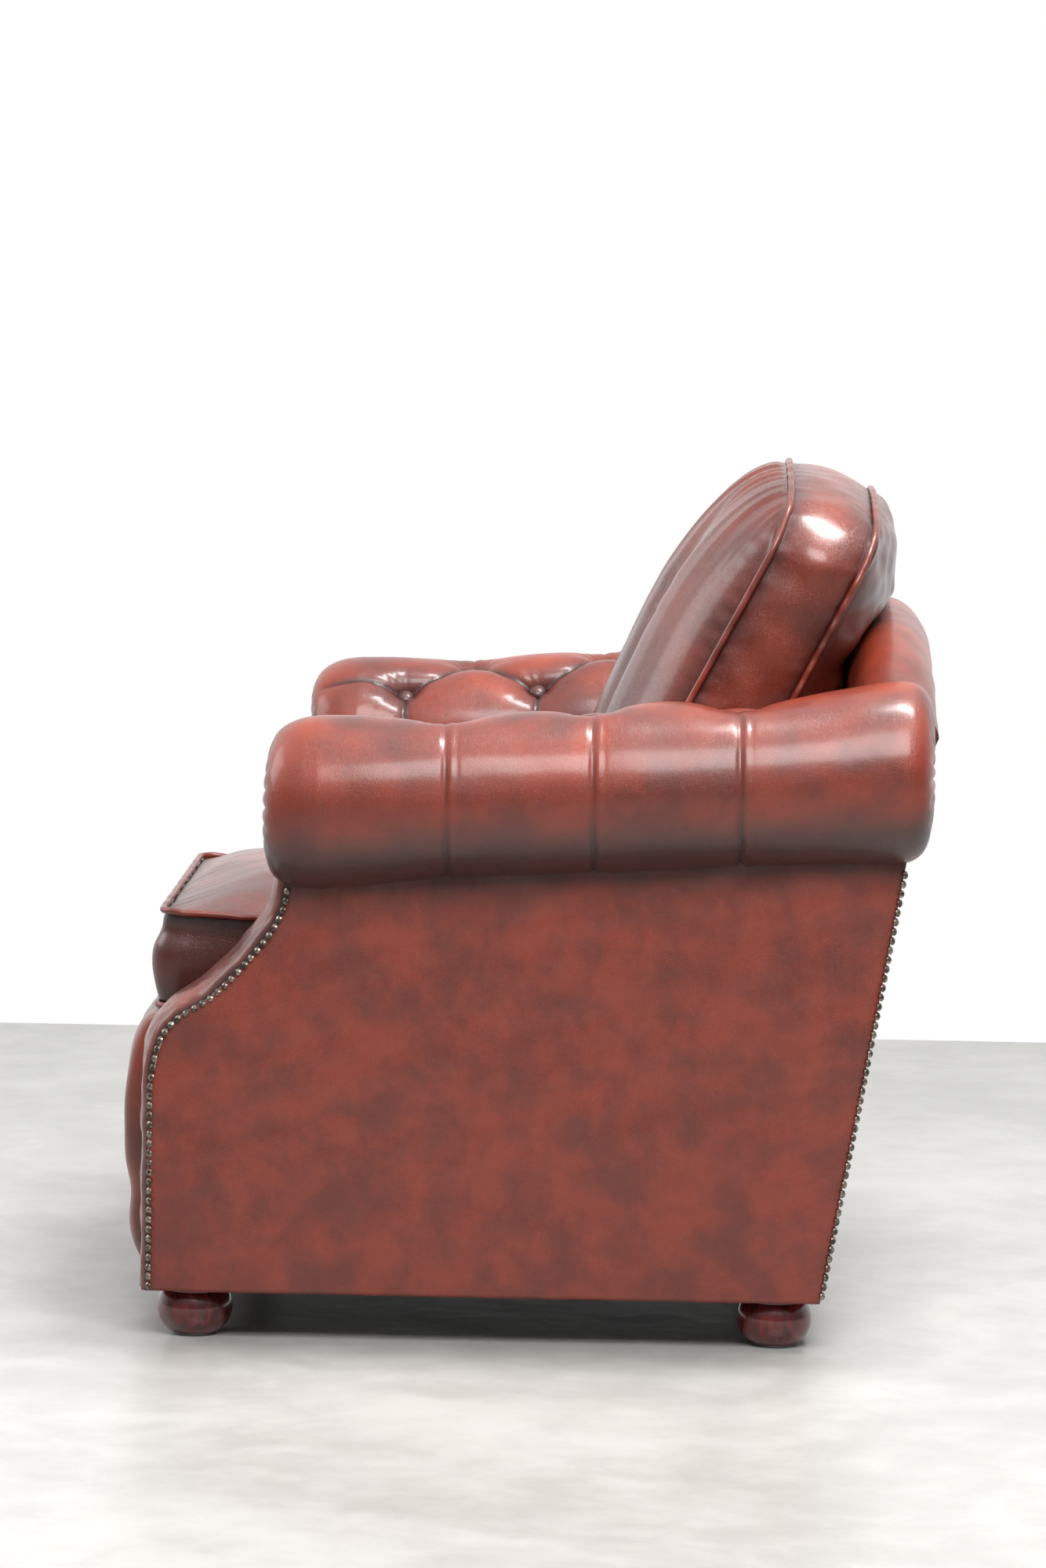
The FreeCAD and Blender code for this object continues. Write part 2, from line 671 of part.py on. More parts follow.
def spring_clips():
    clips = []
    for y in (BODY_FRONT_Y + RAIL / 2 + 2, spring_rear_y() + 6):
        for i in range(SPRING_COUNT):
            clip = spring_clip(y)
            clip.translate(v(spring_x(i), 0, 0))
            clips.append(clip)
    return Part.makeCompound(clips)


def seat_deck():
    """The felt pad and cloth over the springs, on the seat's rake."""
    y0 = BODY_FRONT_Y + RAIL / 2 + CLEAR
    y1 = inside_back_y(deck_z(BACK_FACE_Y)) - 4
    half = INSIDE_X - CLEAR
    corners = [v(-half, y0, deck_z(y0) - DECK_PAD), v(-half, y1, deck_z(y1) - DECK_PAD),
               v(-half, y1, deck_z(y1)), v(-half, y0, deck_z(y0))]
    return prism(line(*corners, corners[0]), v(2 * half, 0, 0))


def dust_cover():
    """The black cloth under the seat, cut round the feet."""
    half = OUTSIDE_X - 6
    cloth = box(-half, half, BODY_FRONT_Y + 6, BODY_REAR_Y - 6, BODY_BOTTOM - 1, BODY_BOTTOM)
    for x in (-FOOT_X, FOOT_X):
        for y in (FOOT_FRONT_Y, FOOT_REAR_Y):
            cloth = cloth.cut(Part.makeCylinder(FOOT_NECK_RADIUS + CLEAR, 4, v(x, y, BODY_BOTTOM - 2)))
    return cloth


# Back


def back_post():
    """A leaning hardwood post at each side of the back, standing on the rear rail."""
    x1 = INSIDE_X
    back = LEATHER + CLEAR
    low = BODY_BOTTOM + REAR_RAIL_HEIGHT
    return leaning_box(x1 - BACK_POST_WIDTH, x1, back + BACK_POST_DEPTH, back, low, BACK_FACE_Z - 20)


def back_rail(top):
    half = INSIDE_X - BACK_POST_WIDTH
    back = LEATHER + CLEAR
    front = back + BACK_POST_DEPTH
    return leaning_box(-half, half, front, front - BACK_RAIL_DEPTH, top - BACK_RAIL_HEIGHT, top)


def back_webbing():
    """Upright straps between the back's two rails."""
    straps = []
    inset = LEATHER + CLEAR + BACK_POST_DEPTH
    half = WEB_WIDTH / 2
    low = LOWER_RAIL_TOP - BACK_RAIL_HEIGHT
    for i in range(WEB_COUNT):
        x = (i - (WEB_COUNT - 1) / 2) * WEB_PITCH
        straps.append(leaning_box(x - half, x + half, inset + 2, inset, low, BACK_RAIL_TOP))
    return Part.makeCompound(straps)


def inside_back_slab(front_gap, back_gap, half):
    """A slab that follows the inside back's slope, from the deck up to the roll."""
    low, high = deck_z(BACK_FACE_Y) - 2, BACK_ROLL_BOTTOM - CLEAR
    corners = [v(-half, inside_back_y(low) + front_gap, low), v(-half, inside_back_y(low) + back_gap, low),
               v(-half, inside_back_y(high) + back_gap, high),
               v(-half, inside_back_y(high) + front_gap, high)]
    return prism(line(*corners, corners[0]), v(2 * half, 0, 0))


def back_foam():
    """The foam between the inside back's leather and the webbing."""
    low, high = deck_z(BACK_FACE_Y) - 2, BACK_ROLL_BOTTOM - CLEAR
    half = INSIDE_X - 1
    front = LEATHER + CLEAR
    back = LEATHER + CLEAR + BACK_POST_DEPTH + 2 + CLEAR
    corners = [v(-half, inside_back_y(low) + front, low), v(-half, rear_y(low, back), low),
               v(-half, rear_y(high, back), high), v(-half, inside_back_y(high) + front, high)]
    return prism(line(*corners, corners[0]), v(2 * half, 0, 0))


def back_roll_section(x, inset=0.0, drop=0.0):
    """The upright roll across the top of the back, seen from the side at x."""
    top = back_roll_top(x) - inset
    low = BACK_ROLL_BOTTOM - drop
    front = BACK_FACE_Y + inset
    rear = BACK_ROLL_REAR_Y - inset
    middle = (front + rear) / 2
    shoulder = top - 42
    side = 0.30 * (rear - front)
    a = v(x, inside_back_y(low) + inset, low)
    b = v(x, front, shoulder)
    c = v(x, middle, top)
    d = v(x, rear, shoulder)
    e = v(x, rear - 17, low + 12)
    f = v(x, rear_y(low) - inset * 0.5 - 2, low)
    knee = v(x, (a.y + b.y) / 2 + 3, (a.z + b.z) / 2)
    edges = [arc(a, knee, b), arc(b, v(x, middle - side, top - 12), c),
             arc(c, v(x, middle + side, top - 12), d), arc(d, v(x, rear - 4, (d.z + e.z) / 2), e)]
    return Part.Wire(edges + line(e, f, a))


def back_roll_solid(inset=0.0, drop=0.0):
    shares = (-1.0, -0.87, -0.66, -0.36, 0.0, 0.36, 0.66, 0.87, 1.0)
    half = BACK_ROLL_HALF - inset
    return Part.makeLoft([back_roll_section(s * half, inset, drop) for s in shares], True, False)


def arm_ends():
    """The space that the two arm rolls take at the back's corners."""
    return both_sides(roll_solid(-CLEAR))


def main_solid(shape):
    return max(shape.Solids, key=lambda s: s.Volume)


def back_roll_leather(ends):
    shell = back_roll_solid().cut(back_roll_solid(LEATHER, 20.0))
    return main_solid(shell.cut(ends))


def back_roll_foam(ends, frame):
    foam = back_roll_solid(LEATHER + CLEAR, 20.0).cut(ends)
    low = BACK_ROLL_BOTTOM + CLEAR
    foam = foam.common(box(-OUTSIDE_X, OUTSIDE_X, 0, 2 * BACK_ROLL_REAR_Y, low, 2 * BACK_ROLL_MID_Z))
    for piece in frame:
        foam = foam.cut(piece)
    return main_solid(foam)


def outside_back_leather(ends):
    """The flat leather of the outside back, tucked up under the rolls."""
    half = OUTSIDE_X - LEATHER - CLEAR
    high = BACK_ROLL_BOTTOM - CLEAR
    panel = leaning_box(-half, half, LEATHER, 0.0, BODY_BOTTOM, high)
    return main_solid(panel.cut(ends))


# Seat cushion, drawn flat from its front edge and then turned to the rake


def seat_cushion_section(x):
    """The cushion seen from the side at x: bowed boxing between two seams, a crowned top and a sagging base."""
    length, edge, low = SEAT_CUSHION_LENGTH, SEAT_CUSHION_EDGE, SEAT_BASE_SEAM
    full = max(0.01, 1 - abs(x / seat_cushion_half()) ** 2.6)
    top = [v(x, length * share, edge + SEAT_CUSHION_CROWN * full * crown) for share, crown in SEAT_CROWN]
    front = arc(top[0], v(x, -9.0, (edge + low) / 2), v(x, 0, low))
    base = arc(v(x, 0, low), v(x, length / 2, low * (1 - full)), v(x, length, low))
    rear = arc(v(x, length, low), v(x, length + 4.0, (edge + low) / 2), top[-1])
    return Part.Wire([spline(top), front, base, rear])


def seat_cushion_half():
    return INSIDE_X - SEAT_CUSHION_GAP


def seat_cushion_solid():
    half = seat_cushion_half()
    shares = (-1.0, -0.94, -0.8, -0.55, -0.28, 0.0, 0.28, 0.55, 0.8, 0.94, 1.0)
    return Part.makeLoft([seat_cushion_section(s * half) for s in shares], True, False)


def to_seat(shape):
    """Moves a piece from the cushion's own frame to its place in the chair."""
    copy = shape.copy()
    copy.rotate(v(0, 0, 0), v(1, 0, 0), -SEAT_RAKE_DEG)
    copy.translate(v(0, SEAT_CUSHION_FRONT_Y, SEAT_FRONT_Z))
    return copy


def shrunk(shape, wall):
    """The same form drawn in by about a wall's thickness all round."""
    size = shape.BoundBox
    centre = size.Center
    matrix = FreeCAD.Matrix()
    matrix.move(centre * -1)
    matrix.scale(v(1 - 2 * wall / size.XLength, 1 - 2 * wall / size.YLength, 1 - 2 * wall / size.ZLength))
    matrix.move(centre)
    return shape.transformGeometry(matrix)


def seat_piping(height, up):
    """A loop of piping round one of the cushion's seams, with rounded corners."""
    out = PIPING_RADIUS + 2 * CLEAR
    half, front, rear = seat_cushion_half() + out * SIN45, -out * SIN45, SEAT_CUSHION_LENGTH + out * SIN45
    z = height + up * out * SIN45
    return cord([v(-half, front, z), v(half, front, z), v(half, rear, z), v(-half, rear, z)], out, True)


# Back pillow


def pillow_swell(x):
    """How full the pillow is at x: full in the middle and flat at its ends."""
    return max(0.0, 1 - (abs(x) / PILLOW_HALF_WIDTH) ** 3.2) ** 0.6


def pillow_channel(x):
    """The front's drawn-in channel down each side of its middle lobe."""
    return 1 - 0.24 * math.exp(-((abs(x) - PILLOW_BUTTON_X) / 26.0) ** 2)


def mix(a, b, share):
    return a + (b - a) * share


def pillow_corners(x, inset=0.0):
    """The four seams at x as (y, z): front bottom, front top, rear top, rear bottom."""
    drop = PILLOW_CORNER_DROP * (abs(x) / PILLOW_HALF_WIDTH) ** 2.5
    lift = 2 * PIPING_RADIUS + 4
    rest_z = seat_top_z(PILLOW_REST_Y) + lift
    depth = 1 - (x / PILLOW_HALF_WIDTH) ** 2
    rear_low_y = mix(PILLOW_REST_Y + PILLOW_BOXING, inside_back_y(rest_z) - 18.0, depth)
    rear_z = seat_top_z(rear_low_y) + lift
    return ((PILLOW_REST_Y + inset, rest_z + inset),
            (PILLOW_TOP_Y + inset * 0.6, PILLOW_TOP_Z - drop - inset),
            (PILLOW_TOP_Y + PILLOW_BOXING - 17.0 - inset, PILLOW_TOP_Z - 31.0 - drop - inset),
            (rear_low_y - inset, rear_z + inset))


def pillow_front(x, inset=0.0, count=8):
    """The front's curve at x: a swelling over the chord from its bottom to its top seam."""
    (y0, z0), (y1, z1), _, _ = pillow_corners(x, inset)
    length = math.hypot(y1 - y0, z1 - z0)
    ny, nz = -(z1 - z0) / length, (y1 - y0) / length
    points = []
    for i in range(count + 1):
        u = 0.5 - 0.5 * math.cos(math.pi * i / count)
        swell = PILLOW_CROWN * pillow_swell(x) * pillow_channel(x) * (0.78 + 0.3 * u)
        swell = swell * (1 - abs(2 * u - 1) ** 3) ** 0.45
        points.append(v(x, y0 + (y1 - y0) * u + ny * swell, z0 + (z1 - z0) * u + nz * swell))
    return points


def pillow_rear(x, inset=0.0):
    """The rear's curve at x: it swells over the back roll and lies against the inside back below it."""
    _, _, (y1, z1), (y0, z0) = pillow_corners(x, inset)
    roll = back_roll_top(x)
    face = BACK_FACE_Y - 8.0
    knee = BACK_FACE_Z - PILLOW_KNEE_DROP
    full = [(y1 + 18.0, mix(z1, roll + 44.0, 0.45)), (y1 + 20.0, roll + 44.0), (face + 24.0, roll + 14.0),
            (face - 3.0, roll - 22.0), (face - 13.0, BACK_FACE_Z - 15.0), (inside_back_y(knee) - 12.0, knee)]
    points = [(y1, z1)]
    for i, (y, z) in enumerate(full):
        share = (i + 1) / (len(full) + 1)
        plain = (mix(y1, y0, share), mix(z1, z0, share))
        swell = pillow_swell(x)
        points.append((mix(plain[0], y - inset, swell), mix(plain[1], z, swell)))
    points.append((y0, z0))
    return [v(x, y, z) for y, z in points]


def pillow_section(x, inset=0.0):
    front = pillow_front(x, inset)
    rear = pillow_rear(x, inset)
    top_mid = (front[-1] + rear[0]) * 0.5 + v(0, 4.0, 11.0)
    rest = (rear[-1] + front[0]) * 0.5
    rest.z = seat_top_z(rest.y) + CLEAR + inset
    return Part.Wire([spline(front), arc(front[-1], top_mid, rear[0]), spline(rear),
                      arc(rear[-1], rest, front[0])])


def pillow_stations(inset=0.0):
    half = PILLOW_HALF_WIDTH - inset
    side = [0.16, 0.315, 0.47, 0.62, 0.76, 0.88, 1.0]
    return [-half * s for s in reversed(side)] + [0.0] + [half * s for s in side]


def back_pillow_solid(inset=0.0):
    return Part.makeLoft([pillow_section(x, inset) for x in pillow_stations(inset)], True, False)


def pillow_piping(rear):
    """The piping round the pillow's front or rear seam: over the top, down both ends and underneath."""
    out = PIPING_RADIUS + 2 * CLEAR
    sign = 1 if rear else -1
    half = PILLOW_HALF_WIDTH + out
    back, up = (0.81 * out, 0.59 * out) if rear else (-0.55 * out, 1.3 * out)
    top, bottom = [], []
    for x in pillow_stations():
        front_low, front_high, rear_high, rear_low = pillow_corners(x)
        high, low = (rear_high, rear_low) if rear else (front_high, front_low)
        at = half if x == PILLOW_HALF_WIDTH else -half if x == -PILLOW_HALF_WIDTH else x
        top.append(v(at, high[0] + back, high[1] + up))
        bottom.append(v(at, low[0] + sign * out * 0.7, low[1] - out * 0.9))
    return cord(top + bottom[::-1], out, True)


def pillow_buttons():
    one = button()
    spots = []
    for x in (-PILLOW_BUTTON_X, PILLOW_BUTTON_X):
        points = pillow_front(x, 0.0, 16)
        at, after = points[10], points[11]
        axis = v(0, -(after.z - at.z), after.y - at.y).normalize()
        spots.append(placed(one, at + axis * 2.4, axis))
    return Part.makeCompound(spots)


# Feet


def foot(x, y):
    """A turned bun foot with a short neck, bored for its bolt."""
    neck = BODY_BOTTOM - 5
    belly = GLIDE + 0.52 * (neck - GLIDE)
    edges = line(v(0, 0, GLIDE), v(FOOT_BASE_RADIUS, 0, GLIDE))
    edges.append(arc(v(FOOT_BASE_RADIUS, 0, GLIDE), v(FOOT_RADIUS, 0, belly), v(FOOT_NECK_RADIUS, 0, neck)))
    edges += line(v(FOOT_NECK_RADIUS, 0, neck), v(FOOT_NECK_RADIUS, 0, BODY_BOTTOM), v(0, 0, BODY_BOTTOM),
                  v(0, 0, GLIDE))
    bun = Part.Face(Part.Wire(edges)).revolve(v(0, 0, 0), v(0, 0, 1), 360)
    bun = bun.cut(Part.makeCylinder(BOLT_RADIUS + 0.05, 60, v(0, 0, 22)))
    bun.translate(v(x, y, 0))
    return bun


def at_feet(make):
    """One solid under each corner."""
    spots = [(x, y) for x in (FOOT_X, -FOOT_X) for y in (FOOT_FRONT_Y, FOOT_REAR_Y)]
    shapes = []
    for x, y in spots:
        piece = make()
        piece.translate(v(x, y, 0))
        shapes.append(piece)
    return Part.makeCompound(shapes)


def foot_bolt():
    return Part.makeCylinder(BOLT_RADIUS, BODY_BOTTOM + 36 - 24, v(0, 0, 24))


def foot_glide():
    return Part.makeCylinder(FOOT_BASE_RADIUS - 5, GLIDE, v(0, 0, 0))


def tee_nut():
    """A flanged nut let into the top of the corner block."""
    top = BODY_BOTTOM + 40
    sleeve = Part.makeCylinder(BOLT_RADIUS + 2, 12, v(0, 0, top - 12))
    flange = Part.makeCylinder(BOLT_RADIUS + 7, 1.5, v(0, 0, top))
    bore = Part.makeCylinder(BOLT_RADIUS + 0.05, 30, v(0, 0, top - 14))
    return sleeve.fuse(flange).removeSplitter().cut(bore)


def main():
    os.makedirs("parts", exist_ok=True)
    ends = arm_ends()
    boards = [outer_board(), inner_board()]
    post = back_post()
    top_rail, disc = arm_top_rail(), scroll_disc()
    inside_foam = inside_arm_panel(INSIDE_X + LEATHER, INNER_BOARD_X - INSIDE_X - LEATHER)

    save_pair("arm_roll_leather", arm_roll_leather())
    save_pair("inside_arm_leather", inside_arm_panel(INSIDE_X, LEATHER))
    save_pair("inside_arm_foam", inside_foam)
    save_pair("outside_arm_leather", outside_arm_leather())
    save_pair("arm_facing", arm_facing())
    save("arm_facing_piping", both_sides(facing_piping()))
    save_pair("arm_outer_board", boards[0])
    save_pair("arm_inner_board", boards[1])
    save("arm_top_rails", both_sides(top_rail))
    save("arm_scroll_discs", both_sides(disc))
    save("arm_battens", both_sides(arm_battens()))
    save_pair("arm_roll_foam", arm_roll_foam(boards + [inside_foam, top_rail, disc, outside_arm_leather()]))
    save("arm_front_nails", both_sides(arm_front_nails()))
    save("arm_buttons", both_sides(arm_buttons()))

    save("front_border_leather", border_solid().cut(border_solid(LEATHER, 4.0)))
    save("front_border_foam", border_solid(LEATHER + CLEAR))
    save("front_border_buttons", front_border_buttons())
    save("front_rail", front_rail())
    save("rear_rail", rear_rail())
    save("side_rails", both_sides(side_rail()))
    save("corner_blocks", corner_blocks())
    save("spring_rail", spring_rail())
    save("seat_springs", seat_springs())
    save("spring_clips", spring_clips())
    save("seat_deck", seat_deck())
    save("dust_cover", dust_cover())

    back_top_rail = back_rail(BACK_RAIL_TOP)
    save("back_posts", both_sides(post))
    save("back_top_rail", back_top_rail)
    save("back_lower_rail", back_rail(LOWER_RAIL_TOP))
    save("back_webbing", back_webbing())
    save("inside_back_leather", inside_back_slab(0.0, LEATHER, INSIDE_X - 1))
    save("back_foam", back_foam())
    save("back_roll_leather", back_roll_leather(ends))
    save("back_roll_foam", back_roll_foam(ends, [post, mirrored(post), back_top_rail, back_webbing()]))
    save("outside_back_leather", outside_back_leather(ends))
    save("back_nails", back_nails())

    cushion = seat_cushion_solid()
    lining = shrunk(cushion, LEATHER)
    save("seat_cushion_cover", to_seat(cushion.cut(lining)))
    save("seat_cushion_core", to_seat(shrunk(cushion, LEATHER + CLEAR)))
    pipings = [seat_piping(SEAT_CUSHION_EDGE, 1), seat_piping(SEAT_BASE_SEAM, -1)]
    save("seat_cushion_piping", to_seat(Part.makeCompound(pipings)))

    save("back_pillow_cover", back_pillow_solid().cut(back_pillow_solid(LEATHER)))
    save("back_pillow_core", back_pillow_solid(LEATHER + CLEAR))
    save("back_pillow_buttons", pillow_buttons())
    save("back_pillow_piping", Part.makeCompound([pillow_piping(False), pillow_piping(True)]))

    for side, x in (("left", FOOT_X), ("right", -FOOT_X)):
        save(f"foot_front_{side}", foot(x, FOOT_FRONT_Y))
        save(f"foot_rear_{side}", foot(x, FOOT_REAR_Y))
    save("foot_bolts", at_feet(foot_bolt))
    save("foot_glides", at_feet(foot_glide))
    save("tee_nuts", at_feet(tee_nut))


main()
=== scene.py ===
"""Chesterfield armchair: its upholstery, trim and finishes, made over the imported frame.

Metres. +Z is up, the sitter faces -Y and +X is the sitter's left. Left-hand pieces are mirrored to the right.
"""
import json
import math

import bpy
import numpy as np
from mathutils import Matrix


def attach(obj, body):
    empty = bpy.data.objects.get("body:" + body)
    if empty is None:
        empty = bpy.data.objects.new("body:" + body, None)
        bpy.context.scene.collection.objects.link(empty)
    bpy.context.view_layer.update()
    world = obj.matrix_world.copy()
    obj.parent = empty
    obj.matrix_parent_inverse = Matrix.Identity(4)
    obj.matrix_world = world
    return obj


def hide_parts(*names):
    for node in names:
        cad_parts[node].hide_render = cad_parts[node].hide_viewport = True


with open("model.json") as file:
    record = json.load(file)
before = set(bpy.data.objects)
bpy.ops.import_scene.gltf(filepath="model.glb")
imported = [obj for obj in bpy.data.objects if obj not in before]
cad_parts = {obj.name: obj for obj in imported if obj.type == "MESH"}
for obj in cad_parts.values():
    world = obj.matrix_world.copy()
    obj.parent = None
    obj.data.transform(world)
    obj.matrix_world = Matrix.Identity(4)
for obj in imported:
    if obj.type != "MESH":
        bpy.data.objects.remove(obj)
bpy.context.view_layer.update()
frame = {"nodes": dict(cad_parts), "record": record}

# Body, seen from the side
BODY_BOTTOM = 0.058
BODY_FRONT_Y = -0.428
BODY_REAR_Y = 0.348
BACK_LEAN = math.tan(math.radians(9.85))
SHOULDER_Z = 0.270
INSIDE_X = 0.297
OUTSIDE_X = 0.425
# The swept front edge of an arm, as shares of the way forward and down from the roll to the shoulder
FRONT_SWEEP = [(0.0, 0.0), (0.045, 0.127), (0.18, 0.258), (0.372, 0.392), (0.583, 0.512), (0.80, 0.596),
               (0.936, 0.704), (0.987, 0.846), (1.0, 1.0)]

# Arm rolls
ROLL_X = 0.400
ROLL_RADIUS = 0.100
ROLL_FRONT_Y = -0.302
ROLL_REAR_Y = 0.465
ROLL_FRONT_Z = 0.627
ROLL_RISE = 0.045 / (ROLL_REAR_Y - ROLL_FRONT_Y)
ARM_FRONT_Y = ROLL_FRONT_Y + 0.030
# The facing and its piping run on up inside the roll: how far, and between which heights each fades into it
FACING_RISE = 0.092
FACING_FADE = (0.548, 0.578)
PIPING_TUCK = (0.572, 0.618)
EDGE_OVERLAP = 0.003
BUTTON_PITCH = 0.1675
CREST_BUTTONS = ROLL_FRONT_Y + 0.209 + BUTTON_PITCH * np.arange(3)
SHOULDER_BUTTONS = CREST_BUTTONS - BUTTON_PITCH / 2
SHOULDER_RUN = ROLL_RADIUS * math.pi / 4
CREST_DIMPLE = 0.018
SHOULDER_DIMPLE = 0.022
DIMPLE_REACH = 0.022
# Pleats as (depth, width): between crest and shoulder buttons, down the inner side, and out to the front edge
DIAMOND_PLEAT = (0.013, 0.034)
INNER_PLEAT = (0.011, 0.034)
FRONT_PLEAT = (0.010, 0.030)
CREST_BUTTON_DEPTH = 0.031
SHOULDER_BUTTON_DEPTH = 0.0325
# The domed ends of a roll, as (share of its radius, distance in from the end)
FRONT_DOME = [(0.02, 0.0), (0.35, 0.0005), (0.60, 0.003), (0.79, 0.011), (0.90, 0.024), (0.97, 0.043),
              (1.0, 0.066)]
REAR_DOME = [(0.02, 0.0), (0.45, 0.001), (0.72, 0.004), (0.88, 0.011), (0.96, 0.021), (0.99, 0.031),
             (1.0, 0.042)]

# Back
BACK_FACE_Y = 0.372
BACK_FACE_Z = 0.740
INSIDE_BACK_SLOPE = 0.325
BACK_ROLL_REAR_Y = 0.471
BACK_ROLL_BOTTOM = 0.640
BACK_ROLL_MID_Z = 0.842
BACK_ROLL_ARCH = 0.077
BACK_ROLL_HALF = 0.395

# Seat cushion
RAKE = math.radians(3.0)
SEAT_ORIGIN = np.array([0.0, -0.432, 0.367])
SEAT_HALF = INSIDE_X - 0.010
SEAT_LENGTH = 0.664
SEAT_EDGE = 0.114
SEAT_BASE_SEAM = 0.008
SEAT_CROWN = 0.046

# Front border
BORDER_FRONT_Y = -0.472
BORDER_TOP = 0.364
BORDER_BUTTON_Z = 0.152
BORDER_BUTTONS = (np.arange(4) - 1.5) * INSIDE_X / 2

# Back pillow
PILLOW_HALF = INSIDE_X - 0.010
PILLOW_TOP = np.array([0.300, 1.003])
PILLOW_REST_Y = 0.062
PILLOW_BOXING = 0.114
PILLOW_DROP = 0.046
PILLOW_CROWN = 0.084
PILLOW_BUTTON_X = 0.098
PILLOW_BUTTON_SHARE = 0.64
PILLOW_TALL = 0.565
# The slope of its front as (run to the rear, rise)
PILLOW_LEAN = (PILLOW_TOP[0] - PILLOW_REST_Y, 0.513)

# Trim
PIPING_RADIUS = 0.004
BUTTON_RADIUS = 0.011

# Room: the wall's place, how far the floor runs forward of it and to each side, the world's light from the
# dark side of the room, and how much more comes from its pale side
WALL_X = -2.13
FLOOR_FAR = 12.0
FLOOR_HALF = 6.0
ROOM_LOW = 0.16
ROOM_PALE = 0.22
# Soft boxes: where each is, what it faces, its size and its power in watts
LAMPS = {"key": ((0.4, 0.9, 3.4), (0.2, 0.1, 0.7), (0.6, 1.3), 110),
         "side": ((3.3, 0.6, 3.6), (0.2, 0.0, 0.5), (2.4, 1.8), 165),
         "front": ((-0.4, -3.4, 2.4), (0.0, 0.0, 0.7), (2.2, 1.8), 50)}
CAMERA_PLACE = (7.6, 0.200, 1.402)
CAMERA_YAW, CAMERA_PITCH, CAMERA_TILT = math.radians(1.626), math.radians(5.936), 0.0152
CAMERA_LENS = 144.56


# Working surfaces out with arrays. Adding 0 times an array spreads a value over that array's shape.


def unit(v):
    """Vectors divided by their lengths."""
    return v / np.maximum(np.linalg.norm(v, axis=-1, keepdims=True), 1e-12)


def ease(x, low, high):
    """0 below low and 1 above high, with an even S-shaped rise between them."""
    t = np.clip((x - low) / (high - low), 0, 1)
    return t * t * (3 - 2 * t)


def smooth_path(points, count, closed=False):
    """An evenly spaced smooth curve through points: cubic pieces whose slopes follow the neighbours."""
    p = np.asarray(points, float)
    if closed:
        p = np.vstack([p[-1:], p, p[:2]])
    else:
        p = np.vstack([2 * p[:1] - p[1:2], p, 2 * p[-1:] - p[-2:-1]])
    a, b, c, d = p[:-3], p[1:-2], p[2:-1], p[3:]
    t = np.linspace(0, 1, 24, endpoint=False)[:, None, None]
    squares, cubes = 2 * a - 5 * b + 4 * c - d, 3 * b - a - 3 * c + d
    curve = 0.5 * (2 * b + (c - a) * t + squares * t ** 2 + cubes * t ** 3)
    curve = np.vstack([curve.transpose(1, 0, 2).reshape(-1, p.shape[1]), p[-2:-1]])
    return even_path(curve, count, closed)


def even_path(points, count, closed=False):
    """Points at even distances along a run of straight pieces."""
    run = np.concatenate([[0], np.cumsum(np.linalg.norm(np.diff(points, axis=0), axis=1))])
    even = np.linspace(0, run[-1], count, endpoint=not closed)
    return np.stack([np.interp(even, run, column) for column in points.T], axis=1)


def unevenness(p, size, seed):
    """A smooth swell between about -1 and 1: twelve sine waves in seeded directions, each about size long."""
    draw = np.random.default_rng(seed)
    ways = unit(draw.normal(size=(12, 3))) * (2 * np.pi / (size * draw.uniform(0.7, 1.5, 12)))[:, None]
    return np.sin(p @ ways.T + draw.uniform(0, 2 * np.pi, 12)).sum(axis=-1) / 3.5


def wander(x, size, seed):
    """The same along one measure: six sine waves, each about size long, between about -1 and 1."""
    draw = np.random.default_rng(seed)
    waves = 2 * np.pi / (size * draw.uniform(0.6, 1.6, 6))
    return np.sin(x[..., None] * waves + draw.uniform(0, 2 * np.pi, 6)).sum(axis=-1) / 2.5


def distance_to(p, run):
    """How far each flat point is from the nearest piece of a run of points."""
    run = np.asarray(run, float)
    a, ab = run[:-1], np.diff(run, axis=0)
    from_a = p[..., None, :] - a
    t = np.clip((from_a * ab).sum(-1) / (ab * ab).sum(-1), 0, 1)
    return np.linalg.norm(from_a - t[..., None] * ab, axis=-1).min(axis=-1)


def pleat(distance, depth, width):
    """A fold's valley: a sharp crease in the bottom of a broad fall, both fading with distance."""
    return -depth * (0.5 * np.exp(-distance / (0.16 * width)) + 0.5 * np.exp(-(distance / width) ** 1.5))


def dimple(distance, depth, reach):
    """A button's funnel: depth times the exponential of minus (distance over reach) to the power 1.5."""
    return -depth * np.exp(-(distance / reach) ** 1.5)


def grid_of(*columns):
    """Points from their coordinates, each a number, a row, a column or a whole grid."""
    return np.stack(np.broadcast_arrays(*columns), axis=-1)


def grid_normals(grid, wrapped):
    """The normal at each point of a grid, from the cross product of its two directions."""
    along = np.gradient(grid, axis=0)
    across = np.roll(grid, -1, 1) - np.roll(grid, 1, 1) if wrapped else np.gradient(grid, axis=1)
    return unit(np.cross(along, across))


# Turning grids into meshes


def joined(parts):
    """Several skins as one."""
    points, quads, tris, fields, start = [], [], [], {}, 0
    for p, q, t, f in parts:
        points.append(p)
        quads.append(q + start)
        tris.append(t + start)
        for key, values in f.items():
            fields.setdefault(key, []).append(values)
        start += len(p)
    return (np.vstack(points), np.vstack(quads), np.vstack(tris),
            {key: np.concatenate(values) for key, values in fields.items()})


def ring_quads(n, m, looped=False):
    """Four-sided faces between neighbouring rings of m points; looped joins the last ring to the first."""
    i, j = np.meshgrid(np.arange(n if looped else n - 1), np.arange(m), indexing="ij")
    k, below = (j + 1) % m, (i + 1) % n
    return np.stack([i * m + j, i * m + k, below * m + k, below * m + j], axis=-1).reshape(-1, 4)


